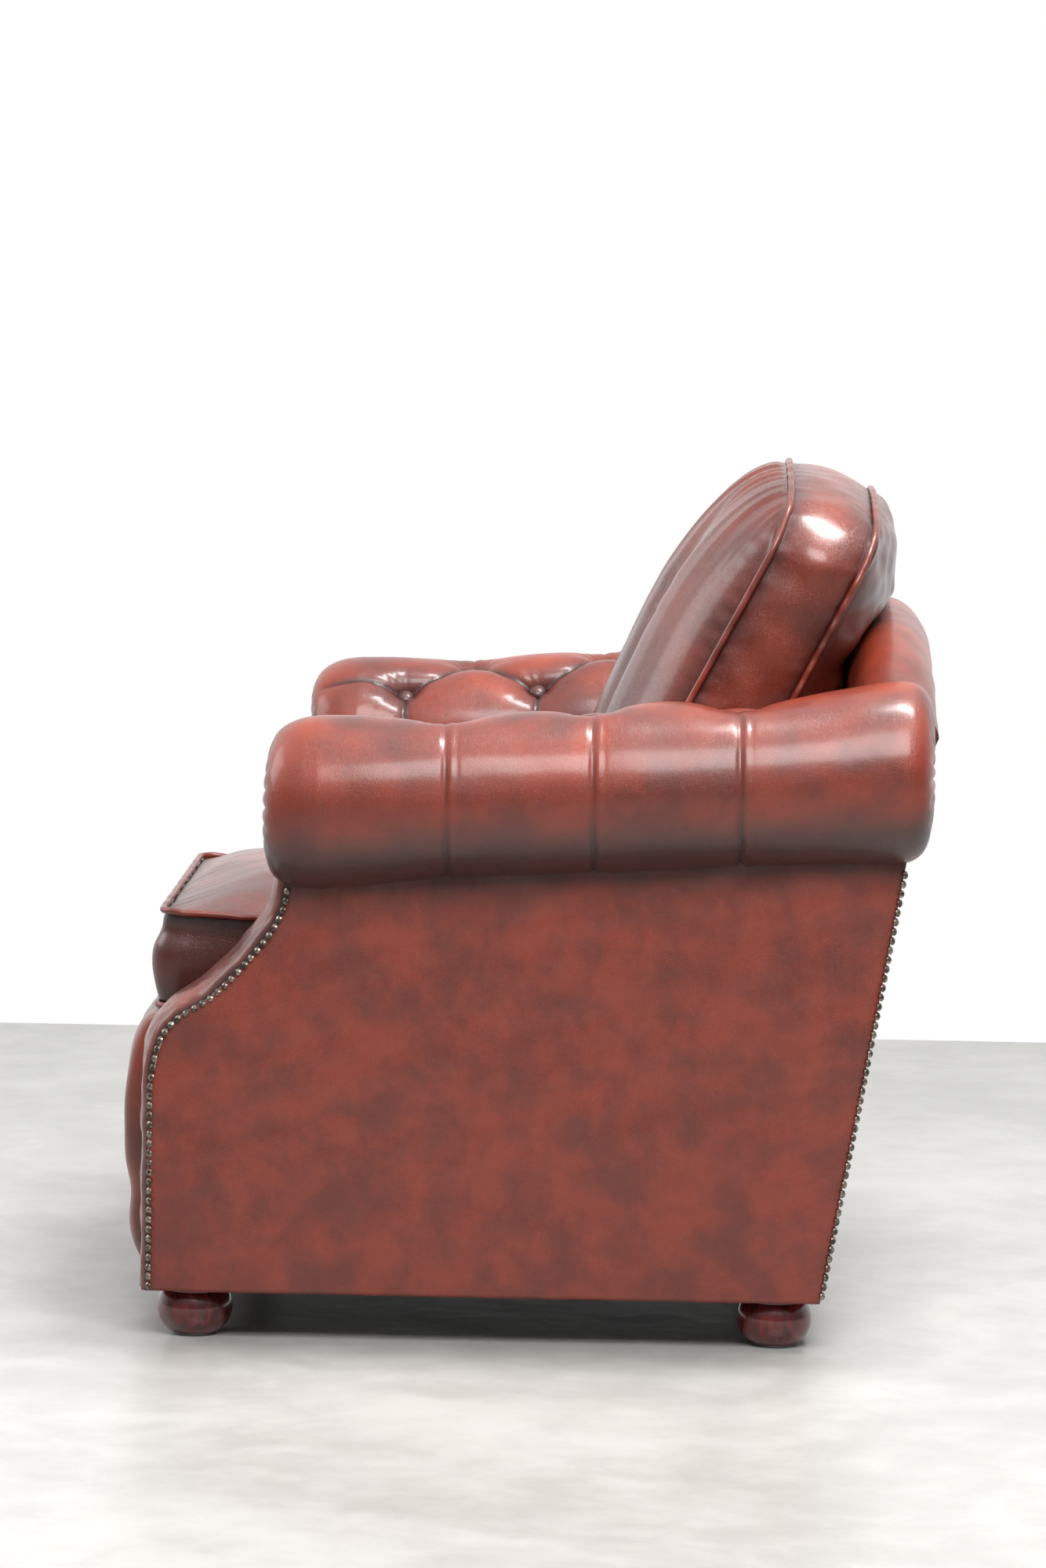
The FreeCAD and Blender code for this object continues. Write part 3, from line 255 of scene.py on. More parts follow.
def tube_skin(rings, **fields):
    """Rings joined into a closed skin, with a point in the middle of the first ring and of the last."""
    n, m = rings.shape[:2]
    points = np.vstack([rings.reshape(-1, 3), rings[0].mean(axis=0), rings[-1].mean(axis=0)])
    a = np.arange(m)
    b = (a + 1) % m
    first = np.stack([np.full(m, n * m), b, a], axis=1)
    last = np.stack([np.full(m, n * m + 1), (n - 1) * m + a, (n - 1) * m + b], axis=1)
    fields = {k: np.concatenate([f.ravel(), [f[0].mean(), f[-1].mean()]]) for k, f in fields.items()}
    return points, ring_quads(n, m), np.vstack([first, last]), fields


def loop_skin(rings):
    """Rings joined end to end into a closed loop, as for piping round a cushion."""
    n, m = rings.shape[:2]
    return rings.reshape(-1, 3), ring_quads(n, m, True), np.zeros((0, 3), int), {}


def slab_skin(face, back, **fields):
    """Two grids, a face and a back, joined round their rims into one closed sheet."""
    n, m = face.shape[:2]
    at = np.arange(n * m).reshape(n, m)
    front = np.stack([at[:-1, :-1], at[:-1, 1:], at[1:, 1:], at[1:, :-1]], axis=-1).reshape(-1, 4)
    rim = np.concatenate([at[0, :-1], at[:-1, -1], at[-1, :0:-1], at[:0:-1, 0]])
    after = np.roll(rim, -1)
    sides = np.stack([after, rim, rim + n * m, after + n * m], axis=1)
    quads = np.vstack([front, front[:, ::-1] + n * m, sides])
    fields = {k: np.tile(f.ravel(), 2) for k, f in fields.items()}
    return np.vstack([face.reshape(-1, 3), back.reshape(-1, 3)]), quads, np.zeros((0, 3), int), fields


def mirrored(skin):
    """A skin on the chair's other side: X changes its sign, and each face is read the other way round."""
    points, quads, tris, fields = skin
    return points * [-1, 1, 1], quads[:, ::-1], tris[:, ::-1], fields


def outward(points, quads, tris):
    """Turns all faces over if the volume that they close comes out negative."""
    corners = np.vstack([quads[:, [0, 1, 2]], quads[:, [0, 2, 3]], tris])
    a, b, c = (points[corners[:, k]] for k in range(3))
    if np.einsum("ij,ij->", a, np.cross(b, c)) < 0:
        return quads[:, ::-1], tris[:, ::-1]
    return quads, tris


def piece(name, skin, finish, body="chair", stands_for=()):
    """Makes a named piece from a skin, gives it its finish and lets it ride on a body."""
    points, quads, tris, fields = skin
    quads, tris = outward(points, quads, tris)
    mesh = bpy.data.meshes.new(name)
    loops = np.concatenate([quads.ravel(), tris.ravel()]).astype(np.int32)
    sizes = np.concatenate([np.full(len(quads), 4), np.full(len(tris), 3)])
    starts = np.concatenate([[0], np.cumsum(sizes)[:-1]]).astype(np.int32)
    mesh.vertices.add(len(points))
    mesh.vertices.foreach_set("co", points.astype(np.float32).ravel())
    mesh.loops.add(len(loops))
    mesh.loops.foreach_set("vertex_index", loops)
    mesh.polygons.add(len(sizes))
    mesh.polygons.foreach_set("loop_start", starts)
    mesh.polygons.foreach_set("use_smooth", np.ones(len(sizes), bool))
    mesh.update(calc_edges=True)
    mesh.validate()
    # Each point's painted shade, and its rub with painted light, for the finish to read.
    for key in ("shade", "rub"):
        values = fields.get(key, np.zeros(len(points)))
        mesh.attributes.new(key, "FLOAT", "POINT").data.foreach_set("value", values.astype(np.float32))
    made = bpy.data.objects.new(name, mesh)
    bpy.context.scene.collection.objects.link(made)
    mesh.materials.append(finish)
    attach(made, body)
    if stands_for:
        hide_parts(*stands_for)
    return made


# The chair's own lines


def roll_z(y):
    """The height of an arm roll's centre line: a straight rise to the rear."""
    return ROLL_FRONT_Z + ROLL_RISE * (y - ROLL_FRONT_Y)


def rear_y(z):
    """The outside back's plane, leaning back as it rises."""
    return BODY_REAR_Y + (z - BODY_BOTTOM) * BACK_LEAN


def inside_back_y(z):
    """The inside back's face: upright at the top, then forward by a fixed share of each metre down."""
    return BACK_FACE_Y - np.maximum(0.0, BACK_FACE_Z - z) * INSIDE_BACK_SLOPE


def deck_z(y):
    """The deck's plane, just under the seat cushion, falling to the rear by the rake."""
    return SEAT_ORIGIN[2] - 0.0003 - (y - SEAT_ORIGIN[1]) * math.tan(RAKE)


def seat_top_z(y):
    """The raked plane that the pillow rests on, near the rear of the seat cushion's crown."""
    return deck_z(y) + SEAT_EDGE + 0.85 * SEAT_CROWN


def back_roll_top(x):
    """The back roll's top line: its height falls with the square of the distance from the middle."""
    return BACK_ROLL_MID_Z - BACK_ROLL_ARCH * np.minimum(1.0, np.abs(x) / BACK_ROLL_HALF) ** 2


def arm_front(count, rise=0.0):
    """The arm's swept front edge as (y, z), from rise above the roll's underside to the body's bottom."""
    top = roll_z(ARM_FRONT_Y) - math.sqrt(ROLL_RADIUS ** 2 - (OUTSIDE_X - ROLL_X) ** 2)
    share = np.array(FRONT_SWEEP)
    y = ARM_FRONT_Y + (BODY_FRONT_Y - ARM_FRONT_Y) * share[:, 0]
    z = top + (SHOULDER_Z - top) * share[:, 1]
    points = np.stack([y, z], axis=1)
    points = np.vstack([[ARM_FRONT_Y, top + 0.02], points, [BODY_FRONT_Y, 0.16], [BODY_FRONT_Y, BODY_BOTTOM]])
    line = smooth_path(points, count)
    if rise:
        line = even_path(np.vstack([[ARM_FRONT_Y, top + rise], line]), count)
    return line


def outward_of(line):
    """The forward normal of the arm's front edge at each of its points."""
    step = unit(np.gradient(line, axis=0))
    return np.stack([step[:, 1], -step[:, 0]], axis=1)


# Arm rolls


def dome_rows(dome, end, inward, count):
    """A roll's domed end as (share of the radius, y): a smooth curve through its profile."""
    rows = smooth_path([(share * ROLL_RADIUS, depth) for share, depth in dome], count)
    return rows[:, 0] / ROLL_RADIUS, end + inward * rows[:, 1]


def roll_pleats(y, run):
    """The displacement of a roll's leather at y and at the run round from the crest, inner side positive.

    The deepest of: pleats between crest and shoulder buttons, pleats down the inner side, sewn creases down
    the outer side and a gather to the front edge; then the buttons' funnels, with fine rays round them.
    """
    p = np.stack([y, run], axis=-1)
    crest = [(b, 0.0) for b in CREST_BUTTONS]
    shoulder = [(b, SHOULDER_RUN) for b in SHOULDER_BUTTONS] + [(CREST_BUTTONS[-1] + 0.084, SHOULDER_RUN)]
    folds = []
    for i, top in enumerate(crest):
        for low in shoulder[i:i + 2]:
            middle = ((top[0] + low[0]) / 2, (top[1] + low[1]) / 2 + 0.010)
            folds.append(([top, middle, low], *DIAMOND_PLEAT))
    for low in shoulder:
        folds.append(([low, (low[0], 0.125), (low[0], 0.22)], *INNER_PLEAT))
    first = shoulder[0]
    steps = ((0.05, -0.014), (0.10, -0.010), (0.16, 0.006))
    folds.append(([first] + [(first[0] - ahead, first[1] + aside) for ahead, aside in steps], *FRONT_PLEAT))
    near = np.full(y.shape, 1.0)
    drop = np.zeros(y.shape)
    for route, depth, width in folds:
        d = distance_to(p, route)
        near = np.minimum(near, d)
        drop = np.minimum(drop, pleat(d, depth, width))
    for at, _ in crest:
        lean = 0.006 * np.clip(-run / 0.29, 0, 1)
        side = ease(-run, -0.004, 0.02)
        d = np.abs(y - at - lean)
        crease = -side * (0.0044 * np.exp(-d / 0.0018) + 0.0008 * np.exp(-(d / 0.020) ** 1.4))
        flap = side * 0.0009 * np.exp(-np.abs(y - at - lean - 0.0065) / 0.0045) * (y > at + lean)
        stitched = side * 0.0008 * np.exp(-np.abs(y - at - lean - 0.013) / 0.0016)
        drop = np.minimum(drop, crease) + flap - stitched
        near = np.minimum(near, np.where(side > 0.5, 0.004 + d * 3.0, 1.0))
    for at, deep in [(c, CREST_DIMPLE) for c in crest] + [(s, SHOULDER_DIMPLE) for s in shoulder[:3]]:
        d = p - at
        r = np.linalg.norm(d, axis=-1)
        turn = np.arctan2(d[..., 1], d[..., 0])
        drop = drop + dimple(r, deep, DIMPLE_REACH)
        rays = np.cos(11 * turn + 2.0 * np.sin(3 * turn)) * np.exp(-r / 0.020) * ease(r, 0.006, 0.016)
        drop = drop + 0.0016 * rays
        near = np.minimum(near, np.maximum(0.0, r - 0.010))
    return drop, near


def arm_roll():
    """The left roll: rings round its centre line, each the radius times the dome's share.

    Its crest is flatter than its underside and rises towards the rear. Pleats and dimples move the leather
    in along its normal, and both ends are gathered in pleats, the front one round a button.
    """
    front, rear = dome_rows(FRONT_DOME, ROLL_FRONT_Y, 1, 40), dome_rows(REAR_DOME, ROLL_REAR_Y, -1, 30)
    body = np.arange(front[1][-1] + 0.003, rear[1][-1] - 0.001, 0.0031)
    share = np.concatenate([front[0], np.ones(len(body)), rear[0][::-1]])[:, None]
    y = np.concatenate([front[1], body, rear[1][::-1]])[:, None]
    turn = np.linspace(-0.5 * np.pi, 1.5 * np.pi, 210, endpoint=False)[None, :]
    up, inner = np.sin(turn), -np.cos(turn)
    crest = np.maximum(0, up) ** 2
    long_way = ease(y, 0.26, 0.42) * 0.008 - 0.005 * (1 - ease(y, 0.26, 0.42)) * ease(y, -0.26, -0.12)
    radius = (ROLL_RADIUS + crest * long_way + 0.003 * np.maximum(0, -up) * ease(-y, 0.10, 0.24)) * share
    base = grid_of(ROLL_X - inner * radius, y, roll_z(y) + up * radius)
    normals = grid_normals(base, True)
    if np.mean(normals[100:200, :, 0] * -inner) < 0:
        normals = -normals
    run = ROLL_RADIUS * (turn - 0.5 * np.pi)
    drop, near = roll_pleats(y + 0 * turn, run + 0 * y)
    body_share = ease(share, 0.75, 1.0)
    puff = 0.0022 * unevenness(base, 0.20, 3) + 0.0004 * unevenness(base, 0.07, 4)
    gathers = np.abs(np.sin(8.5 * turn + 0.35 * np.sin(3 * turn))) ** 0.45 - 1
    ends = gathers * 0.0050 * ease(share, 0.08, 0.3) * (1 - ease(share, 0.55, 0.86))
    centre = dimple(share * ROLL_RADIUS, 0.016, 0.030) * (y < 0)
    moved = base + normals * (drop * body_share + puff * ease(share, 0.1, 0.5) + ends + centre)[..., None]
    # Painted light and shade: the upper side away from the folds is lighter, with painted light and rubbed
    # wear, and painted shade darkens the folds, the gathers, the underside and the lower outer side.
    lit = np.clip(up + 0.08, 0, 1) * np.clip(near / 0.040, 0, 1) * ease(share, 0.5, 1.0)
    shade = np.exp(-near / 0.0055) * body_share + 0.75 * np.clip(-up, 0, 1) ** 1.5
    shade = shade + 0.5 * np.clip(-ends / 0.004, 0, 1)
    shade = np.clip(shade + 0.5 * ease(-inner, 0.2, 1.0) * ease(-up, 0.0, 0.8), 0, 1)
    return tube_skin(moved, shade=shade, rub=lit * (0.6 + 0.4 * unevenness(base, 0.09, 6)))


def inside_arm():
    """The left inside arm: a sheet from the deck to the roll's inner side, with pleats down from its buttons.

    Across it runs from the swept front to the back; up, it leans out at the top to slip behind the roll.
    """
    line = arm_front(200)[::-1]
    up = np.linspace(0, 1, 80)[:, None]
    across = np.linspace(0, 1, 170)[None, :]
    low = deck_z(0.0) - 0.020
    y_front = np.interp(low + up * (ROLL_FRONT_Z - low), line[:, 1], line[:, 0])
    y = y_front + (0.400 - y_front) * across
    z = low + up * (roll_z(y) - 0.004 - low)
    drop = np.zeros(y.shape)
    near = np.full(y.shape, 1.0)
    for at in SHOULDER_BUTTONS:
        d = np.abs(y - at)
        fade = ease(z, 0.44, 0.56)
        drop = drop - fade * (0.0030 * np.exp(-d / 0.0035) + 0.002 * np.exp(-(d / 0.028) ** 1.5))
        near = np.minimum(near, np.where(fade > 0.3, d, 1.0))
    tuck = 0.0062 * ease(z - roll_z(y), -0.060, -0.004)
    grid = grid_of(INSIDE_X - 0.0015 - drop + tuck, y, z)
    grid[..., 0] += 0.0008 * unevenness(grid, 0.08, 21)
    back = grid + [0.0035, 0, 0]
    # Painted shade in the pleats under the buttons and over the low part near the deck.
    return slab_skin(grid, back, shade=np.clip(np.exp(-near / 0.010) + 0.5 * ease(-z, -0.50, -0.40), 0, 1),
                     rub=0.4 * np.clip(near / 0.05, 0, 1) + 0 * y)


def outside_arm():
    """The left outside arm: a flat panel between the swept front and the sloping rear.

    Each row is a straight line from a point of the front edge to a point of the rear edge. It swells by a
    few millimetres, rounds over at its nailed edges and slips up under the roll.
    """
    line = arm_front(130)
    line = (line + outward_of(line) * EDGE_OVERLAP)[::-1]
    share = np.linspace(0, 1, len(line))
    top_z = roll_z(ROLL_REAR_Y) - ROLL_RADIUS + 0.014
    rear_z = BODY_BOTTOM + share * (top_z - BODY_BOTTOM)
    even = np.linspace(0, 1, 150)
    across = (0.65 * even + 0.35 * (0.5 - 0.5 * np.cos(np.pi * even)))[None, :]
    y = line[:, :1] + (rear_y(rear_z)[:, None] - line[:, :1]) * across
    z = line[:, 1:] + (rear_z[:, None] - line[:, 1:]) * across
    edge = np.minimum(y - line[:, :1], rear_y(rear_z)[:, None] - y)
    x = OUTSIDE_X - 0.0002 + 0.0026 * ease(edge, 0.0, 0.09) - 0.0016 * np.exp(-edge / 0.0030)
    grid = grid_of(x, y, z)
    grid[..., 0] += 0.0009 * unevenness(grid, 0.13, 31) + 0.0003 * unevenness(grid, 0.035, 32)
    under = np.exp(-np.maximum(0, roll_z(y) - 0.097 - z) / 0.026)
    pulls = 0.0006 * np.cos(2 * np.pi * y / 0.019 + 1.5 * wander(y, 0.07, 33)) * under
    grid[..., 0] += pulls
    back = grid - [0.0030, 0, 0]
    # Painted shade: a shadow band under the roll, and darker nailed edges and foot of the panel.
    shade = 0.85 * under + 0.25 * np.exp(-edge / 0.006) + 0.3 * np.exp(-(z - BODY_BOTTOM) / 0.02)
    return slab_skin(grid, back, shade=np.clip(shade, 0, 1), rub=0.25 * ease(edge, 0.0, 0.1))


def facing_height(across, z):
    """How far the facing stands out across its width: a narrow rib by the nails, a groove and a wide dome."""
    crown = 0.0115 + 0.0075 * ease(z, SHOULDER_Z, SHOULDER_Z + 0.13)
    crown = crown * (1 - ease(z, *FACING_FADE))
    rib = 0.55 * np.exp(-((across - 0.055) / 0.035) ** 2)
    wide = np.clip((across - 0.08) / 0.92, 0, 1)
    dome = np.clip(4 * wide * (1 - wide), 0, 1) ** 0.55
    return crown * np.maximum(rib, dome) + EDGE_OVERLAP + 0.0002


def arm_facing():
    """The left facing: the arm's front edge moved out along its normal by the facing's height."""
    line = arm_front(220, FACING_RISE)
    out = outward_of(line)
    across = np.linspace(0, 1, 46)[None, :]
    height = facing_height(across, line[:, 1:])
    x = OUTSIDE_X - 0.0012 - across * (OUTSIDE_X - INSIDE_X - 0.0095)
    y = line[:, :1] + out[:, :1] * height
    z = line[:, 1:] + out[:, 1:] * height
    grid = grid_of(x, y, z)
    lift = 0.0009 * unevenness(grid, 0.05, 41) + 0.0005 * unevenness(grid, 0.018, 42)
    grid[..., 1:] += (lift * ease(height, 0.002, 0.008))[..., None] * out[:, None, :]
    grid[..., 2] = np.maximum(grid[..., 2], BODY_BOTTOM)
    flat = grid_of(x, line[:, :1] + out[:, :1] * 0.0004, line[:, 1:] + out[:, 1:] * 0.0004)
    # Painted shade in the groove beside the rib and along both edges.
    dark = np.exp(-np.abs(across - 0.11) / 0.03) + np.exp(-across / 0.02) + np.exp(-(1 - across) / 0.04)
    rub = 0.75 * ease(height, 0.008, 0.018) * (0.5 + 0.5 * unevenness(grid, 0.06, 43))
    return slab_skin(grid, flat, shade=np.clip(dark + 0 * y, 0, 1), rub=rub)


# Piping and buttons


def cord_rings(path, radius, closed, sides=12):
    """Circles of one radius round a path: each is set square to it and turned as little as possible."""
    ahead = np.roll(path, -1, 0) - np.roll(path, 1, 0) if closed else np.gradient(path, axis=0)
    ahead = unit(ahead)
    side = unit(np.cross(ahead, np.broadcast_to([0.13, 0.21, 0.97], ahead.shape)))
    for _ in range(2):
        side = unit(side - (side * ahead).sum(-1, keepdims=True) * ahead)
    other = np.cross(ahead, side)
    turn = np.linspace(0, 2 * np.pi, sides, endpoint=False)[None, :, None]
    return path[:, None] + radius * (np.cos(turn) * side[:, None] + np.sin(turn) * other[:, None])


def facing_piping():
    """The cord between the left facing and the inside arm, tucked in behind the roll at its top."""
    line = arm_front(300, FACING_RISE)
    line = line + outward_of(line) * 0.0042
    x = INSIDE_X + PIPING_RADIUS + 0.0003 + 0.016 * ease(line[:, 1], *PIPING_TUCK)
    path = np.stack([x, line[:, 0], np.maximum(line[:, 1], BODY_BOTTOM)], axis=1)
    return tube_skin(cord_rings(path, PIPING_RADIUS, False))


def button_skin(at, axis):
    """A leather-covered button: a low dome turned about its axis, with a rounded rim and a tucked back."""
    profile = np.array([(0.001, 0.0072), (0.004, 0.0069), (0.0075, 0.0056), (0.0100, 0.0036),
                        (BUTTON_RADIUS, 0.0018), (0.0104, 0.0002), (0.0080, -0.0010), (0.0010, -0.0012)])
    profile = smooth_path(profile, 14)
    axis = unit(np.asarray(axis, float))
    side = unit(np.cross(axis, [0.31, 0.29, 0.90]))
    other = np.cross(axis, side)
    turn = np.linspace(0, 2 * np.pi, 28, endpoint=False)[None, :, None]
    round_about = np.cos(turn) * side + np.sin(turn) * other
    skin = np.asarray(at) + profile[:, :1, None] * round_about + profile[:, 1:, None] * axis
    # Painted shade over the whole button, darkest at its rim.
    return tube_skin(skin, shade=0.45 + 0.35 * (profile[:, :1] / BUTTON_RADIUS) ** 2 + 0 * turn[..., 0])


def arm_buttons():
    """The left arm's buttons, each deep in its funnel: on the crest, the inner shoulder and the scroll."""
    crest = ROLL_RADIUS - CREST_BUTTON_DEPTH
    reach = (ROLL_RADIUS - SHOULDER_BUTTON_DEPTH) * math.sin(math.pi / 4)
    made = [button_skin([ROLL_X, y, roll_z(y) + crest], [0, 0, 1]) for y in CREST_BUTTONS]
    made += [button_skin([ROLL_X - reach, y, roll_z(y) + reach], [-1, 0, 1]) for y in SHOULDER_BUTTONS]
    made.append(button_skin([ROLL_X, ROLL_FRONT_Y + 0.0115, roll_z(ROLL_FRONT_Y)], [0, -1, 0]))
    return joined(made)


# Front border


def front_border():
    """The padded border under the cushion: a full bulge with a soft waist along its row of buttons.

    Forward reach = a rounded hump over the height, times a rounding at the two ends, less the waist,
    the buttons' funnels and the pleats that run up and down from them.
    """
    x = np.linspace(-1, 1, 300)[None, :] * (INSIDE_X - 0.0008)
    w = (0.5 - 0.5 * np.cos(np.pi * np.linspace(0, 1, 120)))[:, None]
    z = BODY_BOTTOM + w * (BORDER_TOP - BODY_BOTTOM)
    hump = 0.006 + 0.040 * np.clip(1 - np.abs(2 * w - 1) ** 3.2, 0, 1) ** 0.5
    hump = hump * np.clip(1 - np.abs(x / INSIDE_X) ** 26, 0, 1) ** 0.5
    waist = 0.006 * np.exp(-((z - BORDER_BUTTON_Z) / 0.030) ** 2)
    p = grid_of(x, z)
    drop = np.zeros(p.shape[:2])
    near = np.full(p.shape[:2], 1.0)
    for at in BORDER_BUTTONS:
        for end in (BODY_BOTTOM, BORDER_TOP):
            d = distance_to(p, [(at, BORDER_BUTTON_Z), (at, end)])
            fade = 1 - 0.75 * ease(np.abs(z - BORDER_BUTTON_Z), 0.03, 0.15)
            drop = np.minimum(drop, pleat(d, 0.010, 0.030) * fade)
            near = np.minimum(near, d / np.maximum(fade, 0.3))
        r = np.linalg.norm(p - [at, BORDER_BUTTON_Z], axis=-1)
        drop = drop + dimple(r, 0.009, 0.024)
        near = np.minimum(near, np.maximum(0, r - 0.01))
    reach = np.maximum(hump - waist + drop, 0.002)
    grid = grid_of(x, BODY_FRONT_Y - reach, z)
    grid[..., 1] -= 0.0010 * unevenness(grid, 0.06, 51) * ease(reach, 0.01, 0.03)
    back = grid.copy()
    back[..., 1] = BODY_FRONT_Y + 0.0125
    # Painted shade in the pleats and round the buttons.
    return slab_skin(grid, back, shade=np.exp(-near / 0.010), rub=0.4 * np.clip(near / 0.045, 0, 1))


def border_buttons():
    """The row of buttons sunk in the border's waist."""
    y = BORDER_FRONT_Y + 0.0225
    return joined([button_skin([x, y, BORDER_BUTTON_Z], [0, -1, 0]) for x in BORDER_BUTTONS])


# Seat cushion


def rounded_loop(half, low, high, radii, count):
    """A closed rectangle with rounded corners as even (x, y) points; radii are (low corners', high ones')."""
    arcs = []
    for sx, y, r, start in ((1, low, radii[0], -0.5), (1, high, radii[1], 0.0), (-1, high, radii[1], 0.5),
                            (-1, low, radii[0], 1.0)):
        a = np.pi * (start + np.linspace(0, 0.5, 16))
        inward = 1 if y == low else -1
        arcs.append(np.stack([sx * (half - r) + r * np.cos(a), y + inward * r + r * np.sin(a)], axis=1))
    run = np.vstack(arcs)
    return even_path(np.vstack([run, run[:1]]), count, True)


def loop_outward(loop):
    """The outward normals of a closed loop that runs anticlockwise."""
    step = unit(np.roll(loop, -1, 0) - np.roll(loop, 1, 0))
    return np.stack([step[:, 1], -step[:, 0]], axis=1)


def seat_place(p):
    """From the cushion's own frame to the chair's: turned down to the rear by the rake, then moved."""
    y, z = p[..., 1], p[..., 2]
    turned = [p[..., 0], y * math.cos(RAKE) + z * math.sin(RAKE), z * math.cos(RAKE) - y * math.sin(RAKE)]
    return np.stack(turned, axis=-1) + SEAT_ORIGIN


def seam_pull(share, height):
    """How drawn in a boxing is at a share of the way across: 1 at either seam, fading over 14 mm from it."""
    return np.exp(-share * height / 0.014) + np.exp(-(1 - share) * height / 0.014)


def seat_crown(x, y):
    """The top's rise: full in the middle, falling to the seams at the sides, and quickest at the front."""
    share = y / SEAT_LENGTH
    side = np.clip(1 - np.abs(x / SEAT_HALF) ** 2.6, 0, 1)
    front = np.clip(1 - np.clip(1 - share / 0.20, 0, 1) ** 2.2, 0, 1)
    rear = 1 - np.clip((share - 0.20) / 0.80, 0, 1) ** 4.0
    return SEAT_CROWN * side ** 0.85 * front * (0.86 * rear + 0.14 * rear ** 0.3)


def seat_cushion():
    """The seat cushion: rings from the middle of its top out to the seam, down the boxing and closed below.

    Top = edge height plus the crown. The boxing bows out most at the front. Puckers along both seams fade in
    a few centimetres, and the base sags between its seams.
    """
    loop = rounded_loop(SEAT_HALF, 0.0, SEAT_LENGTH, (0.022, 0.030), 520)
    normal = loop_outward(loop)
    length = np.arange(len(loop))[None, :] * (2 * (2 * SEAT_HALF + SEAT_LENGTH) / len(loop))
    middle = np.array([0.0, SEAT_LENGTH / 2])
    spread = (1 - (1 - np.linspace(0.0, 1, 84)) ** 1.7)[1:, None]
    flat = middle + spread[..., None] * (loop - middle)
    x, y = flat[..., 0], flat[..., 1]
    seam = (1 - spread) * 0.30 + 0 * x
    pucker = wander(length, 0.024, 61) * np.exp(-seam / 0.018)
    top = grid_of(x, y, SEAT_EDGE + seat_crown(x, y))
    top[..., 2] += 0.0025 * unevenness(top, 0.20, 62) * ease(seam, 0.0, 0.05) + 0.0009 * pucker
    top[..., 2] += 0.0004 * unevenness(top, 0.060, 63) * ease(seam, 0.0, 0.03)
    down = np.linspace(0, 1, 36)[1:-1, None]
    front = np.clip(-normal[:, 1], 0, 1)[None, :] ** 2
    bow = (0.0035 + 0.0075 * front) * np.sin(np.pi * down) ** 0.8
    corner = np.exp(-np.hypot(np.abs(loop[:, 0]) - SEAT_HALF, loop[:, 1]) / 0.05)[None, :]
    pull = seam_pull(down, SEAT_EDGE)
    bow = bow + 0.0010 * wander(length, 0.020, 64) * pull
    bow = bow - 0.006 * corner * np.exp(-((down - 0.20) / 0.12) ** 2)
    bow = bow + 0.003 * corner * np.exp(-((down - 0.5) / 0.25) ** 2)
    side = loop[None] + bow[..., None] * normal[None]
    height = SEAT_EDGE + (SEAT_BASE_SEAM - SEAT_EDGE) * down
    box = np.concatenate([side, np.broadcast_to(height[..., None], side.shape[:2] + (1,))], axis=-1)
    close = np.linspace(1, 0, 30)[:-1, None]
    under = middle + close[..., None] * (loop - middle)
    sag = SEAT_BASE_SEAM * np.clip((close - 0.88) / 0.12, 0, 1) ** 1.5 + 0 * under[..., 0]
    base = np.concatenate([under, sag[..., None]], axis=-1)
    rings = np.concatenate([top, box, base])
    # Painted shade at the top's seam, over the boxing, most near its seams, and over the whole base.
    shade = np.concatenate([0.9 * np.exp(-seam / 0.010), 0.65 * pull + 0.30 + 0 * length, np.ones(sag.shape)])
    rub = np.concatenate([0.2 * ease(seam, 0.01, 0.06), 0.15 * np.sin(np.pi * down) + 0 * length, 0 * sag])
    return tube_skin(seat_place(rings), shade=np.clip(shade, 0, 1), rub=rub)


def seat_piping(height, up):
    """A loop of cord just outside one of the cushion's seams, slightly uneven as sewn cord is."""
    out = (PIPING_RADIUS + 0.0004) * math.sin(math.pi / 4)
    loop = rounded_loop(SEAT_HALF + out, -out, SEAT_LENGTH + out, (0.024, 0.032), 620)
    wave = 0.0006 * wander(np.arange(len(loop)) * 0.004, 0.05, 65 + int(up))
    path = np.concatenate([loop, (height + up * out + wave)[:, None]], axis=1)
    return loop_skin(cord_rings(seat_place(path), PIPING_RADIUS, True))


# Back pillow


def pillow_seams(x, w):
    """The front and rear seams' planes at x and at the share w up the pillow: straight from bottom to top."""
    drop = PILLOW_DROP * (np.abs(x) / PILLOW_HALF) ** 2.5
    lift = 2 * PIPING_RADIUS + 0.004
    rest_z = seat_top_z(PILLOW_REST_Y) + lift
    hollow = 1 - (x / PILLOW_HALF) ** 2
    rear_low = PILLOW_REST_Y + PILLOW_BOXING
    rear_low = rear_low + (inside_back_y(rest_z) - 0.018 - rear_low) * hollow
    front = np.stack([x, PILLOW_REST_Y + (PILLOW_TOP[0] - PILLOW_REST_Y) * w,
                      rest_z + (PILLOW_TOP[1] - drop - rest_z) * w], axis=-1)
    low_z = seat_top_z(rear_low) + lift
    rear = np.stack([x, rear_low + (PILLOW_TOP[0] + PILLOW_BOXING - 0.017 - rear_low) * w,
                     low_z + (PILLOW_TOP[1] - 0.031 - drop - low_z) * w], axis=-1)
    return front, rear


def pillow_outline(count):
    """The pillow's outline as (x, share of the height), with rounded corners."""
    loop = rounded_loop(PILLOW_HALF, 0.0, PILLOW_TALL, (0.035, 0.060), count)
    return loop, loop_outward(loop), loop[:, 0], loop[:, 1] / PILLOW_TALL


def pillow_axes():
    """The pillow's own directions in the chair: up its slope, and forward, square to it."""
    slope = unit(np.array([0.0, *PILLOW_LEAN]))
    return slope, np.array([0.0, -slope[2], slope[1]])


def pillow_outward(normal):
    """The outline's flat normals laid on the pillow's slope."""
    slope, _ = pillow_axes()
    return np.stack([normal[:, 0], normal[:, 1] * slope[1], normal[:, 1] * slope[2]], axis=1)


